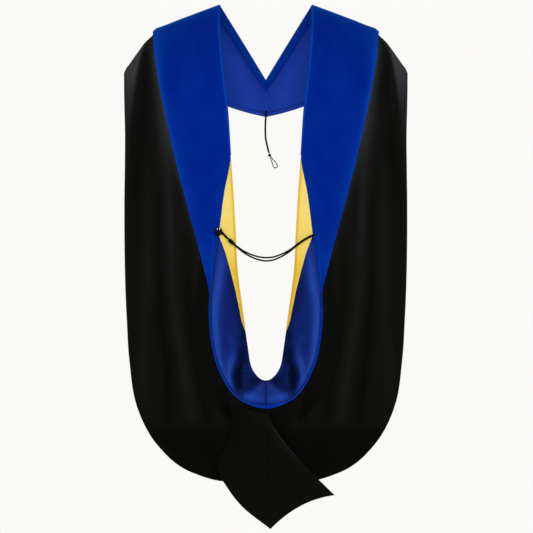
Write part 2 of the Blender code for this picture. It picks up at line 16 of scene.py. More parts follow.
import bmesh
import bpy
import numpy as np
from mathutils import Matrix, Vector


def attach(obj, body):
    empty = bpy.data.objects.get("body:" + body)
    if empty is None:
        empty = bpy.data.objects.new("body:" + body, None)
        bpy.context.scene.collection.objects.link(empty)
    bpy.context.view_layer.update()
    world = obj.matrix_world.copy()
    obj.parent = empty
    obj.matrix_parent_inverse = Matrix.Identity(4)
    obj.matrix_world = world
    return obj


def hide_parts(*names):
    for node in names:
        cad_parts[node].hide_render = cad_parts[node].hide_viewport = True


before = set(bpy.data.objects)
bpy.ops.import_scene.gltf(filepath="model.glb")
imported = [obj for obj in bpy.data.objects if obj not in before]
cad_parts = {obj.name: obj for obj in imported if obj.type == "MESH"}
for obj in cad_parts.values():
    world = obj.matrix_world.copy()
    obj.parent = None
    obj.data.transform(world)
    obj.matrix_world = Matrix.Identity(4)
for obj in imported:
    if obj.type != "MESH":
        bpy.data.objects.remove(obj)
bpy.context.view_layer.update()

# %% [markdown]
# ## Camera
#
# The hood was seen from eight metres away, level with its middle, so a long lens gives the same flat
# perspective. The camera has no shift and no depth of field.

# %% Camera
CAMERA_AT = (0.00136, -8.0, -0.5086)
SENSOR_WIDTH, LENS = 36.0, 278.3

camera_data = bpy.data.cameras.new("camera")
camera_data.sensor_width = SENSOR_WIDTH
camera_data.lens = LENS
camera_data.clip_end = 200.0
camera = bpy.data.objects.new("camera", camera_data)
camera.location = CAMERA_AT
camera.rotation_euler = (math.pi / 2, 0, 0)
bpy.context.scene.collection.objects.link(camera)
bpy.context.scene.camera = camera
print("camera sees", round(8.0 * SENSOR_WIDTH / LENS, 3), "m across at the hood")

# %% [markdown]
# ## The form under the cloth
#
# The shoulder line falls from the neck to the shoulder. Below it the form rounds over to an upright back,
# and its plan is a superellipse. A piece of cloth is then placed by two numbers, x and z, and by its
# height over the form.

# %% Smooth curves through a table
def curve_through(rows, stations, closing=None):
    """Smooth curve through a table's rows, read at many stations; closing is the row past the last."""
    table = np.array(rows, dtype=float)
    after_last = 2 * table[-1] - table[-2] if closing is None else np.array(closing, dtype=float)
    padded = np.vstack((2 * table[0] - table[1], table, after_last))
    stations = np.asarray(stations, dtype=float)
    low = np.clip(stations.astype(int), 0, len(table) - 2)
    share = (stations - low)[:, None]
    before, start, end, after = (padded[low + step] for step in range(4))
    leave, arrive = (end - before) / 2, (after - start) / 2
    value = (
        (2 * share**3 - 3 * share**2 + 1) * start
        + (share**3 - 2 * share**2 + share) * leave
        + (3 * share**2 - 2 * share**3) * end
        + (share**3 - share**2) * arrive
    )
    return type(rows[0])(*value.T)


def ease(value):
    value = np.clip(value, 0.0, 1.0)
    return value * value * (3 - 2 * value)


# %% The form
RidgePoint = namedtuple("RidgePoint", "x z")
RIDGE = [
    RidgePoint(0.0000, 0.0415),
    RidgePoint(0.0899, 0.0000),
    RidgePoint(0.2184, -0.0593),
    RidgePoint(0.2747, -0.1331),
]
PLAN_POWER, HALF_WIDTH = 2.4, 0.2765
BACK_DEPTH, BACK_ROUND = 0.135, 0.200
FRONT_DEPTH, FRONT_ROUND = 0.115, 0.260
TUCK_Z, TUCK_SLOPE = -0.805, 0.20
Bow = namedtuple("Bow", "x rise")
BOWS = [
    Bow(0.0899, 0.0000), Bow(0.1192, 0.0028), Bow(0.1702, 0.0070), Bow(0.2110, 0.0090),
    Bow(0.2184, 0.0048), Bow(0.2376, 0.0072), Bow(0.2520, 0.0060), Bow(0.2702, 0.0038),
    Bow(0.2747, 0.0000),
]
BOW_REACH = 0.05
NORMAL_STEP = 1e-4


def ridge(x):
    return np.interp(x, [point.x for point in RIDGE], [point.z for point in RIDGE])


def bow(x):
    """How far the shoulder line is bowed up at x."""
    return np.interp(np.abs(x), [row.x for row in BOWS], [row.rise for row in BOWS])


def plan_depth(x, front):
    across = np.minimum(np.abs(x) / HALF_WIDTH, 0.999)
    return np.where(front, FRONT_DEPTH, BACK_DEPTH) * (1 - across**PLAN_POWER) ** (1 / PLAN_POWER)


def roundness(x, z, front):
    """1 on the shoulder line, falling to 0 where the form stands upright."""
    return np.clip(1 - (ridge(x) - z) / np.where(front, FRONT_ROUND, BACK_ROUND), 0.0, 1.0)


def form_y(x, z, front):
    depth = plan_depth(x, front) * np.sqrt(1 - roundness(x, z, front) ** 2)
    return np.where(front, depth, -depth)


def form_normal(x, z, front):
    """Outward direction of the form, from the slope of its implicit equation."""
    y = form_y(x, z, front)

    def level(at_x, at_z):
        return (y / plan_depth(at_x, front)) ** 2 + roundness(at_x, at_z, front) ** 2

    along_x = (level(x + NORMAL_STEP, z) - level(x - NORMAL_STEP, z)) / (2 * NORMAL_STEP)
    along_z = (level(x, z + NORMAL_STEP) - level(x, z - NORMAL_STEP)) / (2 * NORMAL_STEP)
    along_y = 2 * y / plan_depth(x, front) ** 2
    top = roundness(x, z, front) >= 1.0
    fall = (ridge(x + NORMAL_STEP) - ridge(x - NORMAL_STEP)) / (2 * NORMAL_STEP)
    parts = (np.where(top, -fall, along_x), np.where(top, 0.0, along_y), np.where(top, 1.0, along_z))
    normal = np.stack(parts, -1)
    return normal / np.linalg.norm(normal, axis=-1, keepdims=True)


def place(x, z, height, lift=0.0, front=False):
    """Points over (x, z), at a height along the normal and lifted off the form towards the viewer."""
    x, z, height, lift = np.broadcast_arrays(*(np.asarray(v, dtype=float) for v in (x, z, height, lift)))
    points = np.stack((x, form_y(x, z, front), z), -1) + form_normal(x, z, front) * height[..., None]
    points[..., 1] += np.where(front, lift, -lift)
    points[..., 2] += bow(x) * np.exp(-(((ridge(x) - z) / BOW_REACH) ** 2))
    return points


print("the back of the form is deepest at y =", float(form_y(0.0, -0.6, False)))

# %% [markdown]
# ## Cords
#
# Two cords hang on a hood. One goes across the back, doubled, from a button to the other side, with a
# wrapped slide on it, so that the wearer can draw the cowl together. The other hangs from the point of
# the neck and hooks over a shirt button. Both are made first, because their lengths and routes are fixed.
#
# A node tree sweeps a round profile with small lobes along the route and turns it as it goes, which gives
# the fine twist of a real cord. A plain bevelled curve would look like plastic tube.

# %% Routes
CLOSURE_RADIUS, NECK_CORD_RADIUS = 0.0016, 0.0009
CLOSURE_UPPER = [
    (-0.0618, -0.1382, -0.4650), (-0.0470, -0.1384, -0.4760), (-0.0360, -0.1386, -0.4822),
    (-0.0250, -0.1388, -0.4868), (-0.0120, -0.1388, -0.4905), (0.0012, -0.1388, -0.4916),
    (0.0140, -0.1388, -0.4905), (0.0260, -0.1388, -0.4866), (0.0362, -0.1387, -0.4822),
    (0.0475, -0.1385, -0.4758), (0.0600, -0.1379, -0.4663), (0.0760, -0.1367, -0.4555),
    (0.0925, -0.1353, -0.4470),
]
CLOSURE_LOWER = [
    (-0.0618, -0.1356, -0.4656), (-0.0470, -0.1357, -0.4784), (-0.0360, -0.1358, -0.4860),
    (-0.0250, -0.1358, -0.4915), (-0.0120, -0.1358, -0.4961), (0.0012, -0.1358, -0.4978),
    (0.0140, -0.1358, -0.4962), (0.0260, -0.1358, -0.4914), (0.0362, -0.1357, -0.4861),
    (0.0475, -0.1355, -0.4784), (0.0600, -0.1351, -0.4680), (0.0760, -0.1341, -0.4570),
    (0.0925, -0.1327, -0.4483),
]
CLOSURE_LOOP = [
    (-0.0702, -0.1382, -0.4570), (-0.0775, -0.1368, -0.4492), (-0.0822, -0.1346, -0.4442),
    (-0.0866, -0.1335, -0.4400), (-0.0904, -0.1333, -0.4368), (-0.0945, -0.1333, -0.4396),
    (-0.0959, -0.1333, -0.4445), (-0.0940, -0.1333, -0.4482), (-0.0903, -0.1334, -0.4494),
    (-0.0866, -0.1337, -0.4468), (-0.0828, -0.1341, -0.4460), (-0.0779, -0.1347, -0.4508),
    (-0.0702, -0.1356, -0.4576),
]
BUTTON_AT = (-0.0904, -0.4408)
SHANK_RADIUS = 0.0024
NECK_STRANDS = [
    (0.0004, 0.1094, -0.2108), (-0.0006, 0.1098, -0.2240), (-0.0010, 0.1098, -0.2400),
    (-0.0002, 0.1098, -0.2570), (0.0028, 0.1098, -0.2715), (0.0062, 0.1098, -0.2853),
]
NECK_STRAND_SPREAD = 0.00088
NECK_LOOP = [
    (0.0083, 0.1098, -0.2936), (0.0104, 0.1098, -0.2985), (0.0128, 0.1098, -0.3050),
    (0.0146, 0.1098, -0.3115), (0.0180, 0.1098, -0.3146), (0.0220, 0.1098, -0.3130),
    (0.0222, 0.1098, -0.3082), (0.0180, 0.1098, -0.3020), (0.0136, 0.1098, -0.2972),
    (0.0101, 0.1098, -0.2930),
]
RoutePoint = namedtuple("RoutePoint", "x y z")


def smooth_route(points, steps=12):
    """Many points along the smooth curve through a route's own points."""
    rows = [RoutePoint(*point) for point in points]
    return np.stack(curve_through(rows, np.linspace(0, len(rows) - 1, (len(rows) - 1) * steps + 1)), -1)


def route_length(points):
    return float(np.linalg.norm(np.diff(points, axis=0), axis=1).sum())


cord_routes = {
    "closure_upper_cord": smooth_route(CLOSURE_UPPER),
    "closure_lower_cord": smooth_route(CLOSURE_LOWER),
    "closure_loop_cord": smooth_route(CLOSURE_LOOP),
    "neck_strand_left_cord": smooth_route([(x - NECK_STRAND_SPREAD, y, z) for x, y, z in NECK_STRANDS]),
    "neck_strand_right_cord": smooth_route([(x + NECK_STRAND_SPREAD, y, z) for x, y, z in NECK_STRANDS]),
    "neck_loop_cord": smooth_route(NECK_LOOP),
}
for name, route in cord_routes.items():
    print(name, "is", round(route_length(route) * 1000, 1), "mm long")

# %% [markdown]
# ### Small helpers for materials and node trees
#
# A helper that adds a node and sets its inputs keeps every material short enough to read.

# %% Node helpers
def add_node(tree, kind, inputs=None, **settings):
    """Adds a node; inputs is a dict of socket name or number to a value or to another node's output."""
    node = tree.nodes.new(kind)
    for name, value in settings.items():
        setattr(node, name, value)
    for key, value in (inputs or {}).items():
        socket = node.inputs[key]
        if isinstance(value, bpy.types.NodeSocket):
            tree.links.new(value, socket)
        else:
            socket.default_value = value
    return node


def new_material(name, **principled):
    """A material with a Principled shader, and the constants set on the shader's own sockets."""
    material = bpy.data.materials.new(name)
    material.use_nodes = True
    shader = material.node_tree.nodes["Principled BSDF"]
    for key, value in principled.items():
        shader.inputs[key.replace("_", " ")].default_value = value
    return material, material.node_tree, shader


def color_ramp(tree, factor, stops):
    """A ramp through (position, colour) stops."""
    ramp = add_node(tree, "ShaderNodeValToRGB", {"Fac": factor})
    while len(ramp.color_ramp.elements) < len(stops):
        ramp.color_ramp.elements.new(0.5)
    for element, (position, color) in zip(ramp.color_ramp.elements, stops):
        element.position = position
        element.color = (*color, 1.0)
    return ramp.outputs["Color"]


def math_node(tree, operation, first, second=0.0):
    return add_node(tree, "ShaderNodeMath", {0: first, 1: second}, operation=operation).outputs[0]


def noise(tree, vector, scale, detail):
    inputs = {"Vector": vector, "Scale": scale, "Detail": detail}
    return add_node(tree, "ShaderNodeTexNoise", inputs).outputs["Fac"]


def bump(tree, shader, height, strength, distance):
    made = add_node(tree, "ShaderNodeBump", {"Height": height, "Strength": strength, "Distance": distance})
    tree.links.new(made.outputs["Normal"], shader.inputs["Normal"])


# %% [markdown]
# The cord is black, slightly fuzzy thread. A fine noise in object coordinates varies its colour and its
# surface.

# %% Cord material
cord_black, tree, shader = new_material(
    "black cord", Roughness=0.60, Sheen_Weight=0.03, Sheen_Roughness=0.4, Specular_IOR_Level=0.05
)
coordinates = add_node(tree, "ShaderNodeTexCoord").outputs["Object"]
fibre = noise(tree, coordinates, 1400.0, 3.0)
tree.links.new(color_ramp(tree, fibre, [(0.3, (0.0012, 0.0012, 0.0012)), (0.8, (0.0050, 0.0050, 0.0055))]),
               shader.inputs["Base Color"])
bump(tree, shader, fibre, 0.5, 0.0002)
print("material", cord_black.name)

# %% [markdown]
# ### The node tree for a cord
#
# The route comes in as a line of points. The tree resamples it, tilts it by its length over the lay of
# the twist, and sweeps the lobed profile along it.

# %% Cord tree
def group_with(name, inputs):
    """An empty Geometry Nodes tree with a geometry in and out and the given named inputs."""
    tree = bpy.data.node_groups.new(name, "GeometryNodeTree")
    tree.interface.new_socket("Geometry", in_out="INPUT", socket_type="NodeSocketGeometry")
    for socket_name, kind in inputs:
        tree.interface.new_socket(socket_name, in_out="INPUT", socket_type=kind)
    tree.interface.new_socket("Geometry", in_out="OUTPUT", socket_type="NodeSocketGeometry")
    return tree, tree.nodes.new("NodeGroupInput").outputs, tree.nodes.new("NodeGroupOutput").inputs


def finish_tree(tree, geometry, material, group_out):
    real = add_node(tree, "GeometryNodeRealizeInstances", {"Geometry": geometry}).outputs[0]
    smooth = add_node(tree, "GeometryNodeSetShadeSmooth", {"Geometry": real}).outputs[0]
    painted = add_node(tree, "GeometryNodeSetMaterial", {"Geometry": smooth, "Material": material}).outputs[0]
    tree.links.new(painted, group_out["Geometry"])


def even_curve(tree, mesh, spacing):
    """A mesh of edges as a curve, with points at an even spacing."""
    curve = add_node(tree, "GeometryNodeMeshToCurve", {"Mesh": mesh}).outputs[0]
    inputs = {"Curve": curve, "Length": spacing}
    return add_node(tree, "GeometryNodeResampleCurve", inputs, mode="LENGTH").outputs[0]


cord_tree, given, result = group_with("twisted cord", [
    ("Radius", "NodeSocketFloat"), ("Lay", "NodeSocketFloat"), ("Lobes", "NodeSocketFloat"),
    ("Lobe Depth", "NodeSocketFloat"), ("Spacing", "NodeSocketFloat"), ("Material", "NodeSocketMaterial"),
])
even = even_curve(cord_tree, given["Geometry"], given["Spacing"])
length = add_node(cord_tree, "GeometryNodeSplineParameter").outputs["Length"]
turns = math_node(cord_tree, "DIVIDE", length, given["Lay"])
tilt = math_node(cord_tree, "MULTIPLY", turns, 2 * math.pi)
tilted = add_node(cord_tree, "GeometryNodeSetCurveTilt", {"Curve": even, "Tilt": tilt}).outputs[0]
ring = add_node(cord_tree, "GeometryNodeCurvePrimitiveCircle", {"Resolution": 18, "Radius": given["Radius"]})
where = add_node(cord_tree, "GeometryNodeInputPosition").outputs[0]
parts = add_node(cord_tree, "ShaderNodeSeparateXYZ", {0: where}).outputs
angle = math_node(cord_tree, "ARCTAN2", parts[1], parts[0])
wave = math_node(cord_tree, "COSINE", math_node(cord_tree, "MULTIPLY", angle, given["Lobes"]))
swell = math_node(cord_tree, "ADD", math_node(cord_tree, "MULTIPLY", wave, given["Lobe Depth"]), 1.0)
scaled = add_node(cord_tree, "ShaderNodeVectorMath", {0: where, "Scale": swell}, operation="SCALE").outputs[0]
moved_ring = {"Geometry": ring.outputs[0], "Position": scaled}
profile = add_node(cord_tree, "GeometryNodeSetPosition", moved_ring).outputs[0]
swept = add_node(cord_tree, "GeometryNodeCurveToMesh",
                 {"Curve": tilted, "Profile Curve": profile, "Fill Caps": True}).outputs[0]
finish_tree(cord_tree, swept, given["Material"], result)
print("node tree", cord_tree.name, "has", len(cord_tree.nodes), "nodes")

# %% [markdown]
# A tree needs something to work on. Here that is a bare line of edges through the points of a route. The
# tree runs as a modifier, its result is kept as a plain mesh, and the modifier goes.

# %% Running a tree over a line of points
def line_object(name, points, breaks=()):
    """A mesh of edges through points; an edge is left out after each index in breaks."""
    data = bpy.data.meshes.new(name)
    edges = [(i, i + 1) for i in range(len(points) - 1) if i not in breaks]
    data.from_pydata([tuple(point) for point in points], edges, [])
    thing = bpy.data.objects.new(name, data)
    bpy.context.scene.collection.objects.link(thing)
    return thing


def run_tree(thing, tree, values):
    """Runs a node tree on an object and keeps the result as its plain mesh."""
    modifier = thing.modifiers.new("nodes", "NODES")
    modifier.node_group = tree
    for item in tree.interface.items_tree:
        if item.in_out == "INPUT" and item.name in values:
            modifier[item.identifier] = values[item.name]
    evaluated = thing.evaluated_get(bpy.context.evaluated_depsgraph_get())
    mesh = bpy.data.meshes.new_from_object(evaluated)
    thing.modifiers.clear()
    old, thing.data = thing.data, mesh
    mesh.name = thing.name
    bpy.data.meshes.remove(old)
    return thing


CORD_LOBES, LOBE_DEPTH = 6.0, 0.07


def make_cord(name, route, radius, lay=0.0075):
    thing = line_object(name, route)
    values = {
        "Radius": radius, "Lay": lay, "Lobes": CORD_LOBES, "Lobe Depth": LOBE_DEPTH, "Spacing": radius * 0.4,
        "Material": cord_black,
    }
    return run_tree(thing, cord_tree, values)


cords = {}
for name, route in cord_routes.items():
    cords[name] = make_cord(name, route, CLOSURE_RADIUS if name.startswith("closure") else NECK_CORD_RADIUS)
    print(name, "has", len(cords[name].data.polygons), "faces")

# %% [markdown]
# ### Slide, knot and tack
#
# The slide is a few turns of cord wound round both strands, so it is the same cord on a helix that swells
# in the middle. The neck cord is tied in an overhand knot, which is a trefoil drawn tight. The tack is a
# bar of thread that holds the neck cord to the facing.

# %% Knots
SLIDE_AT, SLIDE_DROP = (-0.0660, -0.1369, -0.4613), math.radians(43)
SLIDE_LENGTH, SLIDE_TURNS, SLIDE_NARROW, SLIDE_SWELL = 0.0170, 6.5, 0.0009, 0.0016
KNOT_AT, KNOT_LENGTH, KNOT_RADIUS, KNOT_DROP = (0.0076, 0.1098, -0.2897), 0.0072, 0.0034, math.radians(65)
TACK_AT, TACK_SIZE = (0.0004, 0.1091, -0.2060), (0.0046, 0.0034, 0.0084)


def along_axis(points, at, drop):
    """Turns points that lie along +X so that they fall by the angle drop, and moves them to a place."""
    turned = points.copy()
    turned[:, 0] = points[:, 0] * math.cos(drop) + points[:, 2] * math.sin(drop)
    turned[:, 2] = -points[:, 0] * math.sin(drop) + points[:, 2] * math.cos(drop)
    return turned + np.array(at)


turn = np.linspace(0, 1, int(SLIDE_TURNS * 16))
wound = SLIDE_NARROW + SLIDE_SWELL * np.sin(math.pi * turn)
helix = np.stack((
    (turn - 0.5) * (SLIDE_LENGTH - 2.0 * CLOSURE_RADIUS),
    wound * np.cos(2 * math.pi * SLIDE_TURNS * turn),
    wound * np.sin(2 * math.pi * SLIDE_TURNS * turn),
), -1)
slide = make_cord("closure_slide_wrap", along_axis(helix, SLIDE_AT, SLIDE_DROP), CLOSURE_RADIUS)

t = np.linspace(0, 2 * math.pi, 61)[:-1] + 0.4
trefoil = np.stack((
    (np.sin(t) + 2 * np.sin(2 * t)) * KNOT_LENGTH * 0.115,
    np.sin(3 * t) * KNOT_RADIUS * 0.42,
    (np.cos(t) - 2 * np.cos(2 * t)) * KNOT_RADIUS * 0.24,
), -1)
knot = make_cord("neck_cord_knot", along_axis(trefoil, KNOT_AT, KNOT_DROP), NECK_CORD_RADIUS * 1.25)

TACK_ROWS, TACK_THREAD, TACK_MARGIN, TACK_SIDE, TACK_SLANT = 9, 0.00055, 0.0012, 0.0005, 0.0004
tack_points, tack_breaks = [], []
for row in range(TACK_ROWS):
    z = TACK_AT[2] + (row / (TACK_ROWS - 1) - 0.5) * (TACK_SIZE[2] - TACK_MARGIN)
    for angle in np.linspace(-0.5 * math.pi, 0.5 * math.pi, 9):
        x = TACK_AT[0] + (TACK_SIZE[0] / 2 - TACK_SIDE) * math.sin(angle)
        y = TACK_AT[1] + TACK_SIZE[1] / 2 - TACK_MARGIN / 2 - (TACK_SIZE[1] - TACK_MARGIN) * math.cos(angle)
        tack_points.append((x, y, z + TACK_SLANT * math.sin(angle)))
    tack_breaks.append(len(tack_points) - 1)
tack = line_object("neck_tack_thread", tack_points, tack_breaks)
run_tree(tack, cord_tree, {
    "Radius": TACK_THREAD, "Lay": 0.003, "Lobes": 3.0, "Lobe Depth": 0.1, "Spacing": 0.0004,
    "Material": cord_black,
})
print("slide, knot and tack have", [len(o.data.polygons) for o in (slide, knot, tack)], "faces")

# %% [markdown]
# ### Button
#
# A shank button is a low dome with a narrow rim, moulded in glossy plastic. It is turned from its
# profile, with enough steps for a clean highlight.

# %% Button
BUTTON_RADIUS, BUTTON_DOME, BUTTON_FLAT, SHANK_LENGTH = 0.0075, 0.0036, 0.0016, 0.0042
BUTTON_STEPS, GROOVE_DEPTH, GROOVE_ANGLE = 56, 0.00022, 0.42

button_black, tree, shader = new_material(
    "black button", Roughness=0.10, Coat_Weight=0.05, Coat_Roughness=0.03, Specular_IOR_Level=0.40
)
coordinates = add_node(tree, "ShaderNodeTexCoord").outputs["Object"]
marks = noise(tree, coordinates, 420.0, 2.0)
tree.links.new(color_ramp(tree, marks, [(0.2, (0.0010, 0.0010, 0.0012)), (0.9, (0.0030, 0.0030, 0.0034))]),
               shader.inputs["Base Color"])
bump(tree, shader, marks, 0.04, 0.0001)

button_seat = float(place(abs(BUTTON_AT[0]), BUTTON_AT[1], 0.0)[1]) - 0.0003
rim = [(SHANK_RADIUS, SHANK_LENGTH)]
for angle in np.linspace(-math.pi / 2, 0, 7):
    out = SHANK_LENGTH + BUTTON_FLAT * (1 + math.sin(angle))
    rim.append((BUTTON_RADIUS - BUTTON_FLAT * (1 - math.cos(angle)), out))
groove = SHANK_LENGTH + BUTTON_FLAT
dome = []
for angle in np.linspace(0.10, math.pi / 2, 16):
    dip = GROOVE_DEPTH * math.exp(-(((angle - GROOVE_ANGLE) / 0.07) ** 2))
    dome.append((BUTTON_RADIUS * math.cos(angle), groove + BUTTON_DOME * math.sin(angle) - dip))
shank = [
    (0.0, 0.0), (SHANK_RADIUS * 0.85, 0.0), (SHANK_RADIUS, 0.0006), (SHANK_RADIUS, SHANK_LENGTH - 0.0002),
]
mesh = bmesh.new()
points = [mesh.verts.new((max(radius, 0.0), 0.0, out)) for radius, out in shank + rim + dome]
points[-1].co.x = 0.0
edges = [mesh.edges.new(pair) for pair in zip(points, points[1:])]
bmesh.ops.spin(mesh, geom=points + edges, cent=(0, 0, 0), axis=(0, 0, 1), angle=2 * math.pi,
               steps=BUTTON_STEPS, use_merge=True)
bmesh.ops.remove_doubles(mesh, verts=mesh.verts, dist=1e-6)
bmesh.ops.recalc_face_normals(mesh, faces=mesh.faces)
for vertex in mesh.verts:
    x, y, out = vertex.co
    vertex.co = (BUTTON_AT[0] + x, button_seat - out, BUTTON_AT[1] + y)
data = bpy.data.meshes.new("shank_button")
mesh.to_mesh(data)
mesh.free()
data.shade_smooth()
data.materials.append(button_black)
button = bpy.data.objects.new("shank_button", data)
bpy.context.scene.collection.objects.link(button)
print("button stands", round(-button_seat * 1000), "mm behind the neck")

# %% [markdown]
# ## Cloth from rows of points
#
# Each cloth is one or more grids. A grid is read down the hood and outwards, and grids that share an edge
# are welded. The helper also measures each grid, so that the weave runs along the cloth at its real size,
# and it carries a number for each point, the tone. The tone is mostly painted light and shade: painted
# highlights and sheen on folds and edges, and painted shade in hollows and creases, with a little random
# unevenness. Solidify then gives the cloth its thickness, because every edge that shows should look like
# cloth and not like paper.

# %% Cloth helper
Patch = namedtuple("Patch", "points tone")


def measured(points):
    """Distance across and along a grid, in metres."""
    across = np.zeros(points.shape[:2])
    across[:, 1:] = np.cumsum(np.linalg.norm(np.diff(points, axis=1), axis=-1), axis=1)
    middle = points[:, points.shape[1] // 2]
    along = np.concatenate(([0.0], np.cumsum(np.linalg.norm(np.diff(middle, axis=0), axis=-1))))
    return across, np.repeat(along[:, None], points.shape[1], axis=1)


def make_cloth(name, patches, thickness, material, side=1):
    """A sheet from grids that face the viewer when read down and outwards; side -1 is the mirror image."""
    points = np.concatenate([patch.points.reshape(-1, 3) for patch in patches])
    tones = np.concatenate([np.broadcast_to(patch.tone, patch.points.shape[:2]).ravel() for patch in patches])
    _, first, index = np.unique(np.round(points, 6), axis=0, return_index=True, return_inverse=True)
    index = index.ravel()
    faces, uvs, offset = [], [], 0
    for patch in patches:
        rows, columns = patch.points.shape[:2]
        across, along = measured(patch.points)
        local = np.arange(rows * columns).reshape(rows, columns)
        ring = np.stack((local[:-1, :-1], local[1:, :-1], local[1:, 1:], local[:-1, 1:]), -1).reshape(-1, 4)
        for corners in ring if side > 0 else ring[:, ::-1]:
            welded = index[corners + offset]
            if len(set(welded)) == 4:
                faces.append(welded.tolist())
                uvs.extend((across.ravel()[c], along.ravel()[c]) for c in corners)
        offset += rows * columns
    data = bpy.data.meshes.new(name)
    data.from_pydata((points[first] * (side, 1, 1)).tolist(), [], faces)
    data.uv_layers.new(name="cloth").data.foreach_set("uv", np.array(uvs, dtype=np.float32).ravel())
    data.attributes.new("tone", "FLOAT", "POINT").data.foreach_set("value", tones[first].astype(np.float32))
    data.shade_smooth()
    data.materials.append(material)
    thing = bpy.data.objects.new(name, data)
    bpy.context.scene.collection.objects.link(thing)
    solid = thing.modifiers.new("thickness", "SOLIDIFY")
    solid.thickness = thickness
    solid.offset = 0.0
    area = sum(polygon.area for polygon in data.polygons)
    print(name, "has", len(faces), "faces and covers", round(area, 4), "square metres")
    return thing


def spread_shares(count):
    """Shares from 0 to 1 that lie closer together towards both edges of a cloth."""
    return (1 - np.cos(np.linspace(0, math.pi, count))) / 2


def between(start, end, shares):
    """Grid of (x, z) from start to end, one row for each pair and one column for each share."""
    start, end, shares = np.asarray(start), np.asarray(end), np.atleast_2d(shares)
    grid = start[:, None, :] + (end - start)[:, None, :] * shares[..., None]
    return grid[..., 0], grid[..., 1]


def moved_in(start, end, at_start, at_end=0.0):
    """Both ends of the stretch from start to end, cut back by the given lengths."""
    run = end - start
    run = run / np.maximum(np.linalg.norm(run, axis=-1, keepdims=True), 1e-9)
    return start + run * np.reshape(at_start, (-1, 1)), end - run * np.reshape(at_end, (-1, 1))


# %% [markdown]
# ### Folds
#
# A fold is a smooth line down the cloth. At each of its points it has a half width towards the middle of
# the hood, one towards the rim or the hem, and a tone, which paints light or shade on the cloth there. Its
# rise lifts the cloth. Two half widths are needed because a real fold is steep on one side and fades out
# on the other. A power of 2 gives a soft bell, and 4 gives a flat top with steep sides.

# %% Folds
FoldPoint = namedtuple("FoldPoint", "x z inner outer tone")
Fold = namedtuple("Fold", "rise power points")


def folded(x, z, folds):
    """Rise and tone that the folds give on one side of the hood; their lines run from the top down."""
    x, z = np.broadcast_arrays(np.asarray(x, dtype=float), np.asarray(z, dtype=float))
    rise, tone = np.zeros(x.shape), np.zeros(x.shape)
    for fold in folds:
        steps = np.linspace(0, len(fold.points) - 1, 5 * (len(fold.points) - 1) + 1)
        line = np.stack(curve_through(fold.points, steps), -1)
        nearest, strength = np.full(x.shape, np.inf), np.zeros(x.shape)
        for start, end in zip(line, line[1:]):
            run_x, run_z = end[:2] - start[:2]
            off_x, off_z = x - start[0], z - start[1]
            share = np.clip((off_x * run_x + off_z * run_z) / (run_x**2 + run_z**2), 0, 1)
            here = start[:, None, None] + (end - start)[:, None, None] * share
            outward = run_x * off_z - run_z * off_x > 0
            gap = np.hypot(x - here[0], z - here[1]) / np.where(outward, here[3], here[2])
            closer = gap < nearest
            nearest, strength = np.where(closer, gap, nearest), np.where(closer, here[4], strength)
        shape = np.exp(-(nearest**fold.power))
        rise, tone = rise + fold.rise * shape, tone + strength * shape
    return rise, tone


def ripple(across, along, size, seed):
    """Slow uneven ripple between -1 and 1, the same at each run; size is its wave length."""
    draw = np.random.default_rng(seed)
    total = 0.0
    for turn, phase, stretch in draw.uniform((0, 0, 0.6), (math.pi, 2 * math.pi, 1.7), (5, 3)):
        wave = 2 * math.pi / (size * stretch)
        total = total + np.sin(wave * (across * math.cos(turn) + along * math.sin(turn)) + phase)
    return total / 5


# %% [markdown]
# ## Outlines
#
# The back of one side is read as sections: where the hole, the velvet and the hem lie. They run from the
# shoulder line down to the middle of the back. The front has its own shorter table. The other side is the
# mirror image.

# %% Tables
SHELL_THICK, VELVET_THICK, SATIN_THICK, TAIL_THICK, SEAM_GAP = 0.0016, 0.0016, 0.0012, 0.0018, 0.0004
VELVET_HEIGHT, LINING_HEIGHT, UNDER_HEIGHT = -0.0008, -0.0012, -0.0032
FACING_HEIGHT, TURN_HEIGHT = -0.0030, -0.0052
WALL_TOP_HEIGHT, WALL_FOOT_HEIGHT = -0.0028, -0.0007
EDGE_INSET, WALL_CLEAR, PANEL_BLEND = 0.0006, 0.008, 0.030
LINING_INSET, RIM_INSET = 0.0004, 0.0004

Section = namedtuple("Section", "hole_x hole_z inner_x inner_z outer_x outer_z hem_x hem_z lip")
BACK = [
    Section(0.0899, 0.0000, 0.0899, 0.0000, 0.2184, -0.0593, 0.2747, -0.1331, 0.000),
    Section(0.0885, -0.0547, 0.0885, -0.0547, 0.2148, -0.1011, 0.2736, -0.1862, 0.000),
    Section(0.0818, -0.1331, 0.0818, -0.1331, 0.2028, -0.1700, 0.2716, -0.2544, 0.000),
    Section(0.0728, -0.2098, 0.0728, -0.2098, 0.1885, -0.2376, 0.2720, -0.3182, 0.000),
    Section(0.0670, -0.2958, 0.0670, -0.2958, 0.1709, -0.3144, 0.2730, -0.3897, 0.000),
    Section(0.0617, -0.3721, 0.0802, -0.3721, 0.1493, -0.3968, 0.2728, -0.4670, 0.000),
    Section(0.0573, -0.4485, 0.0894, -0.4485, 0.1272, -0.4771, 0.2711, -0.5444, 0.000),
    Section(0.0540, -0.5153, 0.0992, -0.5153, 0.1102, -0.5439, 0.2679, -0.6119, 0.012),
    Section(0.0441, -0.5916, 0.1046, -0.5914, 0.1100, -0.6066, 0.2627, -0.6888, 0.030),
    Section(0.0349, -0.6584, 0.0984, -0.6640, 0.1005, -0.6710, 0.2482, -0.7754, 0.040),
    Section(0.0280, -0.6985, 0.0794, -0.7203, 0.0806, -0.7240, 0.2066, -0.8527, 0.046),
    Section(0.0149, -0.7195, 0.0488, -0.7592, 0.0504, -0.7607, 0.1337, -0.9061, 0.050),
    Section(0.0000, -0.7264, 0.0000, -0.7712, 0.0000, -0.7779, 0.0000, -0.9215, 0.050),
]
MIRRORED = (-1, 1, -1, 1, -1, 1, -1, 1, 1)
EdgeShift = namedtuple("EdgeShift", "station out")
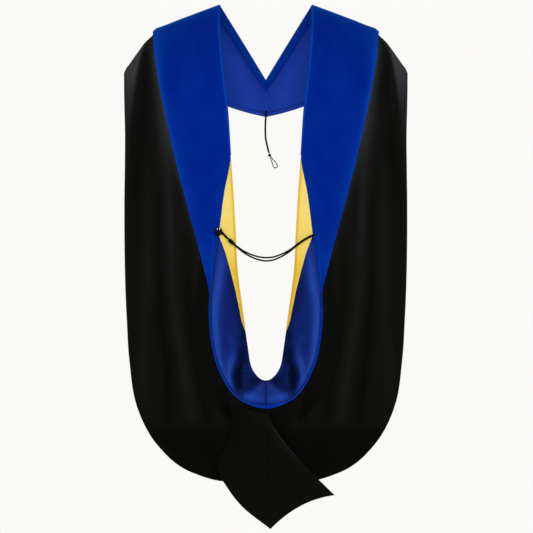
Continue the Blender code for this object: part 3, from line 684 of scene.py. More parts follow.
OUTER_SHIFTS = [
    EdgeShift(6.0, 0.0), EdgeShift(6.6, 0.0012), EdgeShift(7.0, -0.0002), EdgeShift(7.3, -0.0017),
    EdgeShift(8.0, -0.0019), EdgeShift(8.6, -0.0011), EdgeShift(9.2, 0.0),
]
INNER_SHIFTS = [
    EdgeShift(5.0, 0.0), EdgeShift(6.0, 0.0006), EdgeShift(6.3, 0.0014), EdgeShift(6.8, 0.0010),
    EdgeShift(7.5, 0.0),
]
HEM_SHIFTS = [EdgeShift(11.0, 0.0), EdgeShift(11.3, 0.003), EdgeShift(12.0, 0.004)]
LAST = len(BACK) - 1
GOLD_FIRST, CORD_STATION = 4, 6
GoldWidth = namedtuple("GoldWidth", "station share")
GOLD = [
    GoldWidth(4.00, 1.00), GoldWidth(6.00, 1.00), GoldWidth(6.25, 0.730), GoldWidth(6.50, 0.535),
    GoldWidth(6.75, 0.410), GoldWidth(7.00, 0.303), GoldWidth(7.25, 0.232), GoldWidth(7.50, 0.165),
    GoldWidth(8.00, 0.104), GoldWidth(8.28, 0.086), GoldWidth(8.40, 0.057), GoldWidth(8.62, 0.00),
]
FrontSection = namedtuple("FrontSection", "edge_x edge_z outer_x outer_z hem_x hem_z turn")
FRONT = [
    FrontSection(0.0899, 0.0000, 0.2184, -0.0593, 0.2747, -0.1331, 0.006),
    FrontSection(0.0872, -0.0035, 0.2013, -0.1043, 0.2560, -0.1850, 0.012),
    FrontSection(0.0777, -0.0179, 0.1490, -0.1578, 0.1830, -0.2080, 0.018),
    FrontSection(0.0603, -0.0453, 0.0862, -0.1888, 0.0900, -0.1990, 0.022),
    FrontSection(0.0310, -0.0921, 0.0410, -0.2044, 0.0430, -0.2140, 0.023),
    FrontSection(0.0000, -0.1426, 0.0000, -0.2142, 0.0000, -0.2220, 0.020),
]
FRONT_LAST, WEDGE_LAST = len(FRONT) - 1, 2


def shifted(stations, rows):
    return np.interp(stations, [row.station for row in rows], [row.out for row in rows])


def back_sections(stations):
    """Sections of the back; across the middle line they go on as their own mirror image."""
    stations = np.asarray(stations, dtype=float)
    made = curve_through(BACK, stations, np.array(BACK[-2]) * MIRRORED)
    above = stations <= GOLD_FIRST
    return made._replace(
        outer_x=made.outer_x + shifted(stations, OUTER_SHIFTS),
        hem_z=made.hem_z - shifted(stations, HEM_SHIFTS),
        inner_x=np.where(above, made.hole_x, made.inner_x + shifted(stations, INNER_SHIFTS)),
        inner_z=np.where(above, made.hole_z, made.inner_z),
        lip=np.where(stations > CORD_STATION, np.maximum(made.lip, 0.0), 0.0),
    )


def pair(x, z):
    return np.stack((x, z), -1)


def down_the_back(first, last, step):
    """Stations down the back, closer together where the form turns over the shoulder."""
    shoulder = np.linspace(0, 1, 15) ** 2
    stations = np.concatenate((shoulder, np.arange(1 + step, LAST + step / 2, step)))
    inside = stations[(stations > first + 1e-6) & (stations < last - 1e-6)]
    return np.concatenate(([first], inside, [last]))


print("velvet is", round(math.dist(BACK[1][2:4], BACK[1][4:6]) * 1000), "mm wide at the shoulder")

# %% [markdown]
# ## Materials of the cloth
#
# Velvet is short upright pile. It is darkest where one looks straight into it and lighter where it turns
# away, which the sheen lobe does. Satin is smooth along one thread direction, so it gets a soft,
# stretched gloss. The black cloth is a close weave with hardly any shine. Weave and pile are bump at
# their real size, read from the cloth's own map.

# %% Cloth materials
def stretched(tree, vector, across, along):
    return add_node(tree, "ShaderNodeMapping", {"Vector": vector, "Scale": (across, along, 1.0)}).outputs[0]


def cloth_inputs(tree):
    """The cloth's own map in metres, and its tone."""
    uv = add_node(tree, "ShaderNodeUVMap", uv_map="cloth").outputs[0]
    return uv, add_node(tree, "ShaderNodeAttribute", attribute_name="tone").outputs["Fac"]


def mottled(tree, tone, vector, scale, amount):
    """Tone with a slow uneven change over the cloth."""
    cloud = noise(tree, vector, scale, 4.0)
    change = math_node(tree, "MULTIPLY", math_node(tree, "SUBTRACT", cloud, 0.5), amount)
    return math_node(tree, "ADD", tone, change)


THREADS_PER_METRE, WEAVE_HEIGHT = 1900.0, 0.0002


def weave_height(tree, vector, warp, weft):
    """Height of a plain weave: two crossed waves of thread."""
    made = []
    for direction, count in (("X", warp), ("Y", weft)):
        inputs = {"Vector": vector, "Scale": count / 20}
        made.append(add_node(tree, "ShaderNodeTexWave", inputs, bands_direction=direction).outputs["Fac"])
    return math_node(tree, "MULTIPLY", made[0], made[1])


velvet, tree, shader = new_material(
    "royal blue velvet", Roughness=1.0, Specular_IOR_Level=0.0, Sheen_Weight=0.35, Sheen_Roughness=0.30,
    Sheen_Tint=(0.02, 0.22, 1.0, 1.0)
)
vector, tone = cloth_inputs(tree)
# The tone paints light and shade on the velvet: painted highlights along its edges, roll and shoulder top,
# and painted shade in folds; the noise adds the nap's own unevenness.
nap_and_painted_light = mottled(tree, tone, vector, 22.0, 0.25)
nap_and_painted_light = mottled(tree, nap_and_painted_light, vector, 260.0, 0.10)
tree.links.new(color_ramp(tree, nap_and_painted_light, [
    (0.10, (0.0004, 0.0105, 0.160)), (0.45, (0.0006, 0.0155, 0.220)), (0.70, (0.0012, 0.0290, 0.290)),
    (1.00, (0.0030, 0.0540, 0.390)),
]), shader.inputs["Base Color"])
pile = noise(tree, vector, 1500.0, 2.0)
bump(tree, shader, pile, 0.35, 0.0006)


def satin_material(name, stops, gloss_tint):
    material, tree, shader = new_material(
        name, Roughness=0.42, Specular_IOR_Level=0.06, Specular_Tint=gloss_tint, Anisotropic=0.5,
        Sheen_Weight=0.01, Sheen_Roughness=0.3, Sheen_Tint=gloss_tint
    )
    vector, tone = cloth_inputs(tree)
    # The tone paints the light and shade of the satin's folds and edges; the noise and the slub add random
    # unevenness of the weave.
    uneven = mottled(tree, tone, vector, 14.0, 0.12)
    slub = stretched(tree, vector, 30.0, 900.0)
    uneven = mottled(tree, uneven, slub, 1.0, 0.08)
    tree.links.new(color_ramp(tree, uneven, stops), shader.inputs["Base Color"])
    weave = weave_height(tree, vector, THREADS_PER_METRE, THREADS_PER_METRE / 3)
    bump(tree, shader, weave, 0.12, WEAVE_HEIGHT)
    return material


blue_satin = satin_material("royal blue satin", [
    (0.00, (0.0010, 0.0030, 0.016)), (0.25, (0.0024, 0.0075, 0.054)), (0.50, (0.0045, 0.0140, 0.120)),
    (0.75, (0.0085, 0.0290, 0.215)), (1.00, (0.0150, 0.0540, 0.340)),
], (0.10, 0.30, 1.0, 1.0))
# The facing is the same blue satin as the lining; this brighter ramp paints on the light that the back of the
# hood keeps from it inside the neck.
facing_satin_painted_lighter = satin_material("royal blue satin painted lighter for the facing", [
    (0.00, (0.0020, 0.0060, 0.060)), (0.50, (0.0080, 0.0270, 0.260)), (1.00, (0.0170, 0.0720, 0.540)),
], (0.10, 0.30, 1.0, 1.0))
gold_satin = satin_material("gold satin", [
    (0.00, (0.640, 0.370, 0.028)), (0.40, (0.750, 0.520, 0.060)), (0.70, (0.840, 0.660, 0.180)),
    (1.00, (0.900, 0.780, 0.300)),
], (1.0, 0.8, 0.3, 1.0))

black_cloth, tree, shader = new_material(
    "black cloth", Roughness=0.72, Specular_IOR_Level=0.02, Sheen_Weight=0.012, Sheen_Roughness=0.5
)
vector, tone = cloth_inputs(tree)
# The tone paints sheen and light on the folds and edges of the black cloth and shade in their hollows; the
# noise adds random mottling.
painted_sheen_and_mottle = mottled(tree, tone, vector, 9.0, 0.05)
painted_sheen_and_mottle = mottled(tree, painted_sheen_and_mottle, vector, 900.0, 0.06)
tree.links.new(color_ramp(tree, painted_sheen_and_mottle, [
    (0.00, (0.0011, 0.0008, 0.0002)), (0.20, (0.0046, 0.0045, 0.0036)), (0.50, (0.0180, 0.0195, 0.0200)),
    (0.80, (0.0430, 0.0450, 0.0470)), (1.00, (0.0620, 0.0640, 0.0660)),
]), shader.inputs["Base Color"])
weave = weave_height(tree, vector, THREADS_PER_METRE * 0.7, THREADS_PER_METRE * 0.7)
bump(tree, shader, weave, 0.2, WEAVE_HEIGHT)
cloths = (velvet, blue_satin, facing_satin_painted_lighter, gold_satin, black_cloth)
print("cloth materials:", ", ".join(material.name for material in cloths))

# %% [markdown]
# ## Black panels
#
# The black cloth is the hood's own shell. It lies under the velvet and the lining, comes up beside the
# velvet and hangs in long soft folds to a turned hem. A wedge of it goes over the shoulder to the front.

# %% Panel folds
# Fold tones paint light and shade on the black cloth: a painted sheen down the outer shoulder corner, painted
# light on the ridges of the long folds and painted shade in their hollows.
PANEL_FOLDS = [
    Fold(0.0030, 4, [
        FoldPoint(0.2370, -0.0800, 0.0050, 0.0300, 0.62), FoldPoint(0.2500, -0.1080, 0.0078, 0.0300, 0.70),
        FoldPoint(0.2580, -0.1400, 0.0090, 0.0300, 0.60), FoldPoint(0.2625, -0.1660, 0.0095, 0.0300, 0.46),
        FoldPoint(0.2680, -0.2050, 0.0100, 0.0300, 0.32), FoldPoint(0.2720, -0.2440, 0.0110, 0.0300, 0.16),
        FoldPoint(0.2740, -0.3000, 0.0120, 0.0300, 0.08), FoldPoint(0.2740, -0.3800, 0.0130, 0.0300, 0.02),
    ]),
    Fold(-0.0035, 2, [
        FoldPoint(0.2330, -0.1050, 0.0060, 0.0060, -0.10), FoldPoint(0.2350, -0.1660, 0.0080, 0.0060, -0.08),
        FoldPoint(0.2415, -0.2440, 0.0080, 0.0080, -0.06), FoldPoint(0.2500, -0.3800, 0.0110, 0.0080, -0.05),
    ]),
    Fold(0.0030, 2, [
        FoldPoint(0.2070, -0.1450, 0.0090, 0.0110, 0.10), FoldPoint(0.1960, -0.2440, 0.0100, 0.0140, 0.10),
        FoldPoint(0.1890, -0.3400, 0.0120, 0.0140, 0.10), FoldPoint(0.1860, -0.4000, 0.0100, 0.0100, 0.12),
        FoldPoint(0.1820, -0.4800, 0.0130, 0.0130, 0.09), FoldPoint(0.1820, -0.5535, 0.0140, 0.0130, 0.08),
        FoldPoint(0.1700, -0.6400, 0.0140, 0.0130, 0.07), FoldPoint(0.1446, -0.8014, 0.0140, 0.0130, 0.05),
    ]),
    Fold(0.0035, 2, [
        FoldPoint(0.2330, -0.3246, 0.0080, 0.0100, 0.05), FoldPoint(0.2320, -0.4400, 0.0110, 0.0120, 0.07),
        FoldPoint(0.2304, -0.5725, 0.0130, 0.0140, 0.06), FoldPoint(0.2400, -0.7000, 0.0140, 0.0140, 0.06),
        FoldPoint(0.2380, -0.8000, 0.0140, 0.0140, 0.03),
    ]),
    Fold(-0.0035, 2, [
        FoldPoint(0.2094, -0.3800, 0.0100, 0.0100, -0.03), FoldPoint(0.2030, -0.6000, 0.0110, 0.0110, -0.08),
        FoldPoint(0.1913, -0.7000, 0.0120, 0.0110, -0.10), FoldPoint(0.1860, -0.8014, 0.0130, 0.0110, -0.10),
    ]),
    Fold(-0.0030, 2, [
        FoldPoint(0.1503, -0.4600, 0.0100, 0.0100, -0.04), FoldPoint(0.1480, -0.6000, 0.0110, 0.0110, -0.08),
        FoldPoint(0.1240, -0.7500, 0.0130, 0.0110, -0.09), FoldPoint(0.1141, -0.8014, 0.0130, 0.0110, -0.10),
    ]),
]
# A painted sheen on the black cloth just beside the velvet's outer edge, strongest near the shoulder.
SEAM_SHEEN_Z = [-0.85, -0.70, -0.55, -0.38, -0.24, -0.166, -0.108, -0.06]
SEAM_SHEEN = [0.00, 0.00, 0.03, 0.26, 0.44, 0.48, 0.62, 0.70]
SEAM_SHEEN_WIDTH = [0.006, 0.006, 0.006, 0.0055, 0.0110, 0.0060, 0.0085, 0.0085]
FOLD_START_Z, FOLD_EASE = -0.0593, 0.12
UNDER_COLUMNS, PANEL_COLUMNS, PANEL_STEP = 14, 64, 0.05
HEM_DEPTH, HEM_RISE, WEDGE_UNDER = 0.012, 0.0006, 0.004
# Painted light on the upper part of the panels and painted shade on their foot below the tuck; the base tone
# is the cloth's own colour.
BLACK_TONE, TUCK_PAINTED_SHADE, TUCK_PAINTED_SHADE_Z, UPPER_PAINTED_LIGHT = 0.17, -0.10, -0.805, 0.05
# Painted lines where the tail's root comes out under the rim: a painted shadow band beside each line and a
# thin painted highlight along the other; they have no rise.
ROOT_PAINTED_LINES = [
    Fold(0.0, 2, [
        FoldPoint(0.0800, -0.7440, 0.0050, 0.0130, -0.07), FoldPoint(0.0710, -0.7760, 0.0050, 0.0150, -0.10),
        FoldPoint(0.0650, -0.8130, 0.0050, 0.0150, -0.05),
    ]),
    Fold(0.0, 2, [
        FoldPoint(0.0690, -0.7540, 0.0120, 0.0035, 0.05), FoldPoint(0.0610, -0.7880, 0.0140, 0.0035, 0.05),
        FoldPoint(0.0560, -0.8130, 0.0140, 0.0035, 0.03),
    ]),
]
WALL_STATIONS, WALL_WIDTHS = [6.25, 6.50, 7.00, 8.00, 9.00], [0.004, 0.010, 0.020, 0.034, 0.040]


def wall_width(stations):
    return np.interp(stations, WALL_STATIONS, WALL_WIDTHS)


def panel_grid(outer, hem, start, front, shares):
    """Points and tone of a panel from the velvet's edge to the hem."""
    x, z = between(outer, hem, shares)
    x = np.maximum(x, 0.0)
    width = np.linalg.norm(hem - outer, axis=-1)[:, None]
    risen = ease((width * shares - np.reshape(start, (-1, 1))) / PANEL_BLEND)
    height = UNDER_HEIGHT + (-SHELL_THICK / 2 - UNDER_HEIGHT) * risen
    height = height + HEM_RISE * ease((shares - 1 + HEM_DEPTH / width) / 0.01)
    fold_rise, fold_tone = folded(x, z, PANEL_FOLDS)
    rise = np.where(front, 0.0, fold_rise * ease((FOLD_START_Z - z) / FOLD_EASE) * risen)
    points = place(x, z, height, rise, front)
    points[..., 1] += np.where(front, 0.0, TUCK_SLOPE * np.maximum(TUCK_Z - z, 0.0))
    # The panel's tone is painted light and shade: the sheen beside the seam, the fold tones, a lighter top,
    # the lines at the tail's root and a darker foot; the ripple is random.
    seam_sheen_width = np.interp(z, SEAM_SHEEN_Z, SEAM_SHEEN_WIDTH)
    seam_sheen = np.interp(z, SEAM_SHEEN_Z, SEAM_SHEEN) * np.exp(-width * shares / seam_sheen_width)
    tone = BLACK_TONE + fold_tone + seam_sheen + 0.02 * ripple(x, 0.3 * z, 0.05, 17)
    tone = tone + UPPER_PAINTED_LIGHT * ease((z + 0.30) / 0.20) + folded(x, z, ROOT_PAINTED_LINES)[1]
    tone = tone + (TUCK_PAINTED_SHADE - 0.5 * fold_tone) * ease((TUCK_PAINTED_SHADE_Z - z) / 0.030)
    return points, tone


def make_panel(name, side):
    stations = down_the_back(0, LAST, PANEL_STEP)
    section = back_sections(stations)
    hole, outer = pair(section.hole_x, section.hole_z), pair(section.outer_x, section.outer_z)
    hem = pair(section.hem_x, section.hem_z)
    hole, _ = moved_in(hole, outer, EDGE_INSET)
    x, z = between(hole, outer, np.linspace(0, 1, UNDER_COLUMNS)[:-1])
    under = place(np.maximum(x, 0.0), z, UNDER_HEIGHT)
    shares = np.linspace(0, 1, PANEL_COLUMNS)[None, :]
    start = np.where(stations > CORD_STATION, wall_width(stations) + WALL_CLEAR, 0.0)
    panel, panel_tone = panel_grid(outer, hem, start, False, shares)
    tone = np.concatenate((np.full(under.shape[:2], BLACK_TONE), panel_tone), axis=1)
    back = Patch(np.concatenate((under, panel), axis=1), tone)
    front_stations = np.concatenate((np.linspace(0, 1, 15) ** 2, np.arange(1.05, WEDGE_LAST + 0.01, 0.05)))
    section = curve_through(FRONT, front_stations)
    outer, hem = pair(section.outer_x, section.outer_z), pair(section.hem_x, section.hem_z)
    inner = pair(section.edge_x, section.edge_z)
    _, tucked = moved_in(inner, outer, 0.0, WEDGE_UNDER * np.minimum(front_stations / 0.2, 1.0))
    wedge, wedge_tone = panel_grid(tucked, hem, 0.0, (front_stations > 0)[:, None], shares)
    wedge[0], wedge_tone[0] = panel[0], panel_tone[0]
    return make_cloth(name, [back, Patch(wedge[::-1], wedge_tone[::-1])], SHELL_THICK, black_cloth, side)


SIDES = (("left", -1), ("right", 1))
panels = {name: make_panel(f"panel_{name}", side) for name, side in SIDES}

# %% [markdown]
# ## Velvet band
#
# The band runs from the point of the neck over the shoulder and down the back, and narrows to the rim of
# the cowl. Its neck edge is rolled over and turned in, so the mesh has three grids: the face, a half
# round and the turned-in strip. The roll is real, because the sheen of the pile draws a light line along
# it, and a painted highlight on the roll and along both edges of the band adds to that line. The shoulder
# top and the narrow rim are painted lighter as well, and the band's folds carry painted light and shade.

# %% Velvet
TURN_RADIUS = (VELVET_HEIGHT - TURN_HEIGHT) / 2
VELVET_COLUMNS, ARC_STEPS, TURN_COLUMNS, VELVET_STEP = 44, 7, 6, 0.05
EDGE_SOFT, EDGE_DROP, SOFT_RISE, NARROW_WIDTH = 0.0040, 0.0007, 0.0006, 0.02
# The turned-in strip is painted lighter than the face of the band, rising to a painted highlight on the roll.
STRIP_PAINTED_LIGHT, ROLL_HIGHLIGHT = 0.66, 0.92
# Painted highlights on the band: a thin one along the neck edge and a broader one along the outer edge,
# widest near the shoulder.
VELVET_TONE, INNER_EDGE_HIGHLIGHT, INNER_EDGE_WIDTH = 0.45, 0.42, 0.0012
CORNER_LIFT, CORNER_WIDTH, CORNER_DROP = 0.0030, 0.014, 0.012
# The band is painted lighter towards the shoulder top and along the narrow rim of the cowl.
RIDGE_PAINTED_LIGHT, RIDGE_DROP = 0.42, 0.018
OUTER_EDGE_Z = [-0.70, -0.50, -0.38, -0.24, -0.166, -0.108, -0.06]
OUTER_EDGE_HIGHLIGHT = [0.15, 0.15, 0.25, 0.50, 0.62, 0.58, 0.55]
OUTER_EDGE_WIDTH = [0.0025, 0.0030, 0.0080, 0.0060, 0.0070, 0.0110, 0.0120]
RIM_PAINTED_LIGHT_Z, RIM_PAINTED_LIGHT = [-0.78, -0.60, -0.50, -0.44], [0.12, 0.16, 0.20, 0.04]
# Small folds near the rim: a real rise under a millimetre, with a painted highlight on the ridge and painted
# shade in the hollow beside it.
VELVET_FOLDS = [
    Fold(0.0008, 2, [
        FoldPoint(0.1006, -0.4480, 0.0012, 0.0012, 0.16), FoldPoint(0.1030, -0.5000, 0.0012, 0.0012, 0.20),
        FoldPoint(0.1056, -0.5450, 0.0012, 0.0012, 0.10),
    ]),
    Fold(-0.0008, 2, [
        FoldPoint(0.0965, -0.4750, 0.0015, 0.0015, -0.05), FoldPoint(0.0990, -0.5000, 0.0015, 0.0015, -0.14),
        FoldPoint(0.1010, -0.5300, 0.0015, 0.0015, -0.10),
    ]),
]
BACK_TURN, TURN_END, ROLL_END, TURN_END_STATION = 0.006, 0.0015, 0.12, 4.0


def velvet_grids(inner, outer, lip, front, turn, roll):
    """Face, half round and turned-in strip of the band; roll is the share of the full radius at each row."""
    rows = len(inner)
    roll = np.broadcast_to(roll, rows)
    front = np.broadcast_to(front, rows)[:, None]
    radius = TURN_RADIUS * roll
    width = np.linalg.norm(outer - inner, axis=-1)
    start, _ = moved_in(inner, outer, radius)
    x, z = between(start, outer, spread_shares(VELVET_COLUMNS))
    x = np.maximum(x, 0.0)
    from_outer = (1 - spread_shares(VELVET_COLUMNS)[None, :]) * width[:, None]
    from_inner = spread_shares(VELVET_COLUMNS)[None, :] * width[:, None]
    drop = EDGE_DROP * np.clip(1 - from_outer / EDGE_SOFT, 0, 1) ** 2
    drop = drop * np.clip(width[:, None] / NARROW_WIDTH, 0, 1)
    inside = np.clip(np.minimum(from_outer, from_inner) / NARROW_WIDTH, 0, 1)
    soft = SOFT_RISE * ripple(x, z, 0.11, 3) * inside
    fold_rise, fold_tone = folded(x, z, VELVET_FOLDS)
    corner = CORNER_LIFT * np.exp(-from_outer / CORNER_WIDTH - (ridge(x) - z) / CORNER_DROP)
    face = place(x, z, VELVET_HEIGHT - drop + soft + corner + fold_rise * ~front, lip[:, None], front)
    # Painted highlights along the outer edge and the neck edge of the band.
    outer_edge_highlight = np.interp(z, OUTER_EDGE_Z, OUTER_EDGE_HIGHLIGHT) * np.exp(
        -from_outer / np.interp(z, OUTER_EDGE_Z, OUTER_EDGE_WIDTH)
    )
    inner_edge_highlight = INNER_EDGE_HIGHLIGHT * np.exp(-((from_inner / INNER_EDGE_WIDTH) ** 2))
    tone = VELVET_TONE + outer_edge_highlight + inner_edge_highlight + np.interp(z, RIM_PAINTED_LIGHT_Z, RIM_PAINTED_LIGHT) + fold_tone * ~front
    tone = tone + RIDGE_PAINTED_LIGHT * np.exp(-(ridge(x) - z) / RIDGE_DROP) + 0.05 * ripple(x, 0.35 * z, 0.07, 29)
    normal = form_normal(start[:, 0], start[:, 1], front[:, 0])
    inward = face[:, 1] - face[:, 0]
    inward /= np.linalg.norm(inward, axis=-1, keepdims=True)
    centre = face[:, 0] - normal * radius[:, None]
    angles = np.linspace(math.pi, 0, ARC_STEPS + 1)[None, :, None]
    arc = centre[:, None] + radius[:, None, None] * (
        normal[:, None] * np.cos(angles) - inward[:, None] * np.sin(angles)
    )
    reach = np.linspace(1, 0, TURN_COLUMNS + 1)[None, :-1, None] * np.reshape(turn, (-1, 1, 1))
    strip = arc[:, :1] + inward[:, None] * reach
    edge = np.concatenate((strip, arc), axis=1)
    edge[..., 0] = np.maximum(edge[..., 0], 0.0)
    edge[:, -1] = face[:, 0]
    edge_tone = np.broadcast_to(np.linspace(STRIP_PAINTED_LIGHT, ROLL_HIGHLIGHT, edge.shape[1]), edge.shape[:2]).copy()
    return face, tone, edge, edge_tone


def make_velvet(name, side):
    stations = down_the_back(0, LAST, VELVET_STEP)
    section = back_sections(stations)
    inner, outer = pair(section.inner_x, section.inner_z), pair(section.outer_x, section.outer_z)
    roll = np.interp(stations, [3.0, TURN_END_STATION], [1.0, ROLL_END])
    turn = np.interp(stations, [0.0, TURN_END_STATION], [BACK_TURN, TURN_END])
    back, back_tone, back_edge, back_edge_tone = velvet_grids(inner, outer, section.lip, False, turn, roll)
    last_rolled = int(np.searchsorted(stations, TURN_END_STATION)) + 1
    front_stations = np.concatenate((np.linspace(0, 1, 15) ** 2, np.arange(1.06, FRONT_LAST + 0.01, 0.06)))
    front_stations[-1] = FRONT_LAST
    section = curve_through(FRONT, front_stations)
    inner, outer = pair(section.edge_x, section.edge_z), pair(section.outer_x, section.outer_z)
    lip = np.zeros(len(front_stations))
    front, front_tone, edge, edge_tone = velvet_grids(
        inner, outer, lip, front_stations > 0, section.turn, 1.0
    )
    front[0], front_tone[0], edge[0], edge_tone[0] = back[0], back_tone[0], back_edge[0], back_edge_tone[0]
    return make_cloth(name, [
        Patch(back, back_tone),
        Patch(back_edge[:last_rolled], back_edge_tone[:last_rolled]),
        Patch(front[::-1], front_tone[::-1]),
        Patch(edge[::-1], edge_tone[::-1]),
    ], VELVET_THICK, velvet, side)


velvets = {name: make_velvet(f"velvet_band_{name}", side) for name, side in SIDES}

# %% [markdown]
# ## Facing of the neck
#
# Inside the front of the neck lies a satin facing. Its lower edge is a narrow hem, turned once more and
# sewn, which shows as a raised strip with a dark line above it.

# %% Facing
FACING_INSET, FACING_COLUMNS = 0.0060, 46
FACING_HEM, FACING_HEM_RISE, FACING_LINE_GAP = 0.0058, 0.0007, 0.0006
FACING_TONE, LINE_TONE, STRIP_SHADE, MIDDLE_LIGHT = 0.84, 0.45, 0.26, 0.36
LINE_WIDTH, SHADE_REACH, MIDDLE_WIDTH = 0.0011, 0.020, 0.0018


def make_facing(name, side):
    shoulder, below = np.linspace(0.3, 1, 10) ** 2, np.arange(1.08, FRONT_LAST + 0.01, 0.08)
    stations = np.concatenate(([0.05], shoulder, below))
    stations[-1] = FRONT_LAST
    section = curve_through(FRONT, stations)
    inner, outer = pair(section.edge_x, section.edge_z), pair(section.outer_x, section.outer_z)
    insets = [WEDGE_UNDER + 0.0015, 2 * EDGE_INSET]
    outer_inset = np.interp(stations, [WEDGE_LAST + 0.1, WEDGE_LAST + 0.5], insets)
    inner, outer = moved_in(inner, outer, FACING_INSET, outer_inset)
    shares = spread_shares(FACING_COLUMNS)
    x, z = between(inner, outer, shares)
    x = np.maximum(x, 0.0)
    from_hem = (1 - shares)[None, :] * np.linalg.norm(outer - inner, axis=-1)[:, None]
    raised = ease((FACING_HEM - from_hem) / 0.0008)
    height = FACING_HEIGHT - FACING_HEM_RISE * raised + 0.0004 * ripple(x, z, 0.05, 8)
    line = np.exp(-(((from_hem - FACING_HEM - FACING_LINE_GAP) / LINE_WIDTH) ** 2))
    from_strip = shares[None, :] * np.linalg.norm(outer - inner, axis=-1)[:, None] - section.turn[:, None]
    shade = np.exp(-np.maximum(from_strip + FACING_INSET, 0) / SHADE_REACH)
    middle = np.exp(-((x / MIDDLE_WIDTH) ** 2))
    tone = FACING_TONE - LINE_TONE * line - STRIP_SHADE * shade + MIDDLE_LIGHT * middle
    tone = tone + 0.04 * ripple(x, z, 0.04, 5)
    points = place(x, z, height, 0.0, True)
    return make_cloth(name, [Patch(points[::-1], tone[::-1])], SATIN_THICK, facing_satin_painted_lighter, side)


facings = {name: make_facing(f"neck_facing_{name}", side) for name, side in SIDES}

# %% [markdown]
# ## Gold strip and satin lining
#
# The lining is turned out round the cowl: a gold strip along the edge of the hole, then the blue satin,
# which rolls up to the rim. The satin has its own folds, which gather where the cowl turns under.

# %% Gold strip
GOLD_COLUMNS, GOLD_STEP = 20, 0.04
GOLD_EDGE, GOLD_DIP = 0.0060, 0.0011
HOLE_SHADE, SEAM_LIGHT, SEAM_LIGHT_WIDTH = 0.40, 0.12, 0.0012
# Painted light on the gold strip: lighter towards its top, darker lower down.
GOLD_PAINTED_LIGHT_Z = [-0.56, -0.52, -0.505, -0.48, -0.45, -0.36]
GOLD_PAINTED_LIGHT = [0.24, 0.26, 0.34, 0.50, 0.58, 0.62]


def gold_share(stations):
    return np.interp(stations, [row.station for row in GOLD], [row.share for row in GOLD])


def make_gold(name, side):
    stations = down_the_back(GOLD_FIRST + 0.12, GOLD[-1].station - 0.02, GOLD_STEP)
    section = back_sections(stations)
    hole, inner = pair(section.hole_x, section.hole_z), pair(section.inner_x, section.inner_z)
    seam = hole + (inner - hole) * gold_share(stations)[:, None]
    hole, seam = moved_in(hole, seam, 0.0, SEAM_GAP / 2)
    shares = spread_shares(GOLD_COLUMNS)
    x, z = between(hole, seam, shares)
    width = np.linalg.norm(seam - hole, axis=-1)[:, None]
    from_hole = shares[None, :] * width
    rolled = np.clip(1 - from_hole / GOLD_EDGE, 0, 1)
    points = place(x, z, LINING_HEIGHT - GOLD_DIP * rolled**2)
    seam_line = np.exp(-((((1 - shares[None, :]) * width) / SEAM_LIGHT_WIDTH) ** 2))
    tone = np.interp(z, GOLD_PAINTED_LIGHT_Z, GOLD_PAINTED_LIGHT)
    tone = tone - HOLE_SHADE * ease(rolled * 1.6) + SEAM_LIGHT * seam_line + 0.05 * ripple(x, z, 0.08, 12)
    return make_cloth(name, [Patch(points, tone)], SATIN_THICK, gold_satin, side)


golds = {name: make_gold(f"gold_strip_{name}", side) for name, side in SIDES}

# %% [markdown]
# The lining stands up from the back like the wall of a bowl, and each section gives the height of its
# lip. The light and dark of the satin come half from these shapes and half from light and shade painted
# into the tones of its folds, since a real satin gathers its folds tighter than a mesh of this size can.

